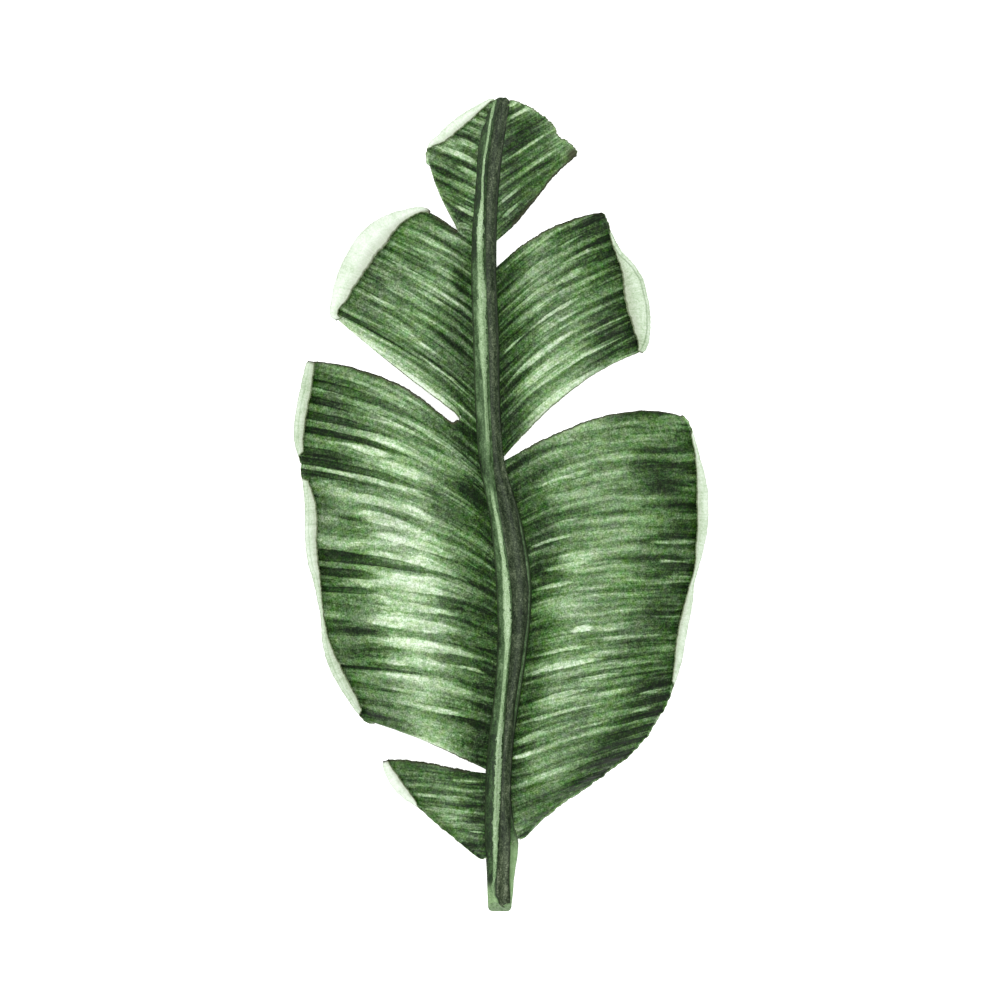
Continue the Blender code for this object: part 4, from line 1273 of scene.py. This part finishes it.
tubes = tube_tree()
vein_skin = upper_material("vein_upper", "lift")
for side, name in ((-1, "left"), (1, "right")):
    half_blade = [sheet for sheet in blade_sheets if sheet.lobe.side == side]
    veins = vein_lines("veins_" + name, half_blade, VEINS_PER_PLEAT, VEIN_OFFSET, VEIN_RADIUS, VEIN_LIGHT_AND_SHADE)
    grown(veins, tubes, Sides=VEIN_SIDES, Unevenness=VEIN_UNEVENNESS, Skin=vein_skin)
    ribs = vein_lines("ribs_" + name, half_blade, RIBS_PER_PLEAT, -VEIN_OFFSET, RIB_RADIUS, (0.0,))
    grown(ribs, tubes, Sides=VEIN_SIDES, Unevenness=VEIN_UNEVENNESS, Skin=under)


# Dried edge: where the blade is torn or ends, its rim dries to a thin uneven bead, brown
# along the worst tears and paler where the blade beside it has faded and round the margin.
BEAD_RADIUS = 0.44
BEAD_SIDES = 5
BEAD_UNEVENNESS = 0.5
BEAD_FLAT = 0.35            # how dark it is on a flat margin
BEAD_ROLLED = 0.4           # and on a rolled one
BEAD_TORN = 0.5             # what the widest dried tear adds
BEAD_FADED = 0.25           # and the widest faded strip takes off
TORN_WIDTH = 1.5
FADED_WIDTH = 8
ROLLED_FOLD = 4             # length of roll from which a rim counts as rolled


def bead_material():
    """Dried tissue, from pale green-grey to near black along the worst tears."""
    finish = Finish("bead_skin", 0.7, 0.1)
    dark, run = finish.numbers("dark", "run")
    thread = finish.grain(run * 0.35, dark * 3.0, 2.0, detail=3.0)
    grains = finish.speckle(1.2)
    colour = (dark + (thread - 0.5) * 1.1 + (grains - 0.5) * 0.4).limit().colour(
        (0.0, linear(158, 180, 142)), (0.3, linear(118, 136, 100)), (0.55, linear(78, 86, 60)),
        (0.8, linear(50, 54, 38)), (1.0, linear(30, 34, 24)))
    return finish.wear(colour, thread * 0.2 + 0.6, thread, 0.2)


def edge_lines(sheets):
    """One line round each lobe: out along its lower tear, up its margin and back along its upper tear."""
    points, edges, numbers = [], [], {"thick": [], "dark": [], "run": []}
    for sheet in sheets:
        lobe, grid = sheet.lobe, sheet.points
        high, wide = sheet.vein.shape
        outward = range(WEB_COLUMNS - 1, wide)
        line = [(0, column) for column in outward]
        line += [(row, wide - 1) for row in range(1, high - 1)]
        line += [(high - 1, column) for column in reversed(outward)]
        spots = np.array([grid[place] for place in line])
        spots[:, 2] = np.maximum(spots[:, 2], BEAD_RADIUS * CLEAR_OF_TABLE)
        first = len(points)
        points.extend(spots)
        edges.extend((first + i, first + i + 1) for i in range(len(line) - 1))
        for row, _ in line:
            if row in (0, high - 1):
                k = int(row > 0)
                dark = BEAD_FLAT + BEAD_TORN * min(1.0, lobe.dried[k] / TORN_WIDTH)
                dark -= BEAD_FADED * min(1.0, lobe.faded[k] / FADED_WIDTH)
            else:
                dark = BEAD_ROLLED if sheet.fold[row, -1] > ROLLED_FOLD else BEAD_FLAT
            numbers["dark"].append(dark)
        numbers["thick"].extend([BEAD_RADIUS] * len(line))
        numbers["run"].extend(run_along(spots))
    return leaf_object(sheet_mesh("dried_edge", points, [], numbers, edges))


dried_edge = edge_lines(blade_sheets)
grown(dried_edge, tubes, Sides=BEAD_SIDES, Unevenness=BEAD_UNEVENNESS, Skin=bead_material())


# Torn fibres: the ends of broken vein threads that stick out of the tears and of the dry
# margin, each a tapered bent hair a millimetre or two long.
FIBRE_PITCH = 3.2
FIBRE_SCATTER = 0.45        # in pitches
FIBRE_LENGTH = (0.8, 2.2)
FIBRE_RADIUS = 0.13         # in lengths of the hair
FIBRE_LEAN = 0.45
FIBRE_LEAST_HEIGHT = 3.0
FIBRE_SEED = 7


def fibre_tree():
    """Stands a tapered bent hair on each point, turned along the point's own direction."""
    tree, given = new_tree("hairs_on_points", "Hairs", Points="Geometry", Shortest="Float",
                           Longest="Float", Radius="Float", Lean="Float", Seed="Int", Skin="Material")
    new = Tone(tree, None).node
    hair = new("GeometryNodeCurvePrimitiveBezierSegment", {}, {
        "Resolution": 4, "Start": (0, 0, 0), "Start Handle": (0, 0, 0.4),
        "End Handle": (0.1, 0, 0.8), "End": (0.25, 0, 1)})
    share = new("GeometryNodeSplineParameter", out="Factor")
    taper = new("ShaderNodeMapRange", {}, {"Value": share, "To Min": 1.0, "To Max": 0.25}, out="Result")
    ring = new("GeometryNodeCurvePrimitiveCircle", {}, {"Resolution": 3, "Radius": given["Radius"]})
    strand = new("GeometryNodeCurveToMesh", {}, {
        "Curve": hair, "Profile Curve": ring, "Scale": taper, "Fill Caps": True})
    away = new("GeometryNodeInputNamedAttribute", {"data_type": "FLOAT_VECTOR"}, {"Name": "away"},
               out="Attribute")
    aim = new("FunctionNodeAlignRotationToVector", {"axis": "Z"}, {"Vector": away})
    swing = new("FunctionNodeRandomValue", {"data_type": "FLOAT_VECTOR"}, {
        0: given["Lean"] * -1.0, 1: given["Lean"], "Seed": given["Seed"]})
    turn = new("FunctionNodeRotateRotation", {"rotation_space": "LOCAL"}, {
        "Rotation": aim, "Rotate By": swing})
    length = new("FunctionNodeRandomValue", {}, {
        2: given["Shortest"], 3: given["Longest"], "Seed": given["Seed"]}, out=1)
    stand = new("GeometryNodeInstanceOnPoints", {}, {
        "Points": given["Points"], "Instance": strand, "Rotation": turn, "Scale": length})
    return finished(tree, stand, given["Skin"])


def fibre_points(sheets):
    """Points along the tears and the free edges that are clear of the table, each with its way out."""
    points, away = [], []
    tear = slice(WEB_COLUMNS + 2, FLAT_COLUMNS)
    for sheet in sheets:
        grid = sheet.points
        rims = [(grid[0, tear], grid[1, tear]), (grid[-1, tear], grid[-2, tear]),
                (grid[3:-3, -1], grid[3:-3, -2])]
        for rim, inner in rims:
            run = run_along(rim)
            step = np.arange(int(run[-1] / FIBRE_PITCH))
            at = (step + 0.5 + FIBRE_SCATTER * ripple(step * 2.7)) * FIBRE_PITCH
            place = np.stack([np.interp(at, run, rim[:, axis]) for axis in range(3)], axis=1)
            inside = np.stack([np.interp(at, run, inner[:, axis]) for axis in range(3)], axis=1)
            clear = place[:, 2] > FIBRE_LEAST_HEIGHT
            points.extend(place[clear])
            away.extend((place - inside)[clear])
    mesh = sheet_mesh("torn_fibres", points, [])
    ways = mesh.attributes.new("away", "FLOAT_VECTOR", "POINT")
    ways.data.foreach_set("vector", unit(np.array(away)).astype(np.float32).ravel())
    return leaf_object(mesh)


def fibre_material():
    """Dry thread, grey-green to straw brown."""
    finish = Finish("fibre_skin", 0.7, 0.1)
    tint = finish.speckle(4.0)
    colour = tint.colour((0.35, linear(88, 100, 70)), (0.65, linear(150, 156, 120)))
    return finish.wear(colour, tint * 0.2 + 0.6)


torn_fibres = fibre_points(blade_sheets)
grown(torn_fibres, fibre_tree(), Shortest=FIBRE_LENGTH[0] * MM, Longest=FIBRE_LENGTH[1] * MM,
      Radius=FIBRE_RADIUS, Lean=FIBRE_LEAN, Seed=FIBRE_SEED, Skin=fibre_material())
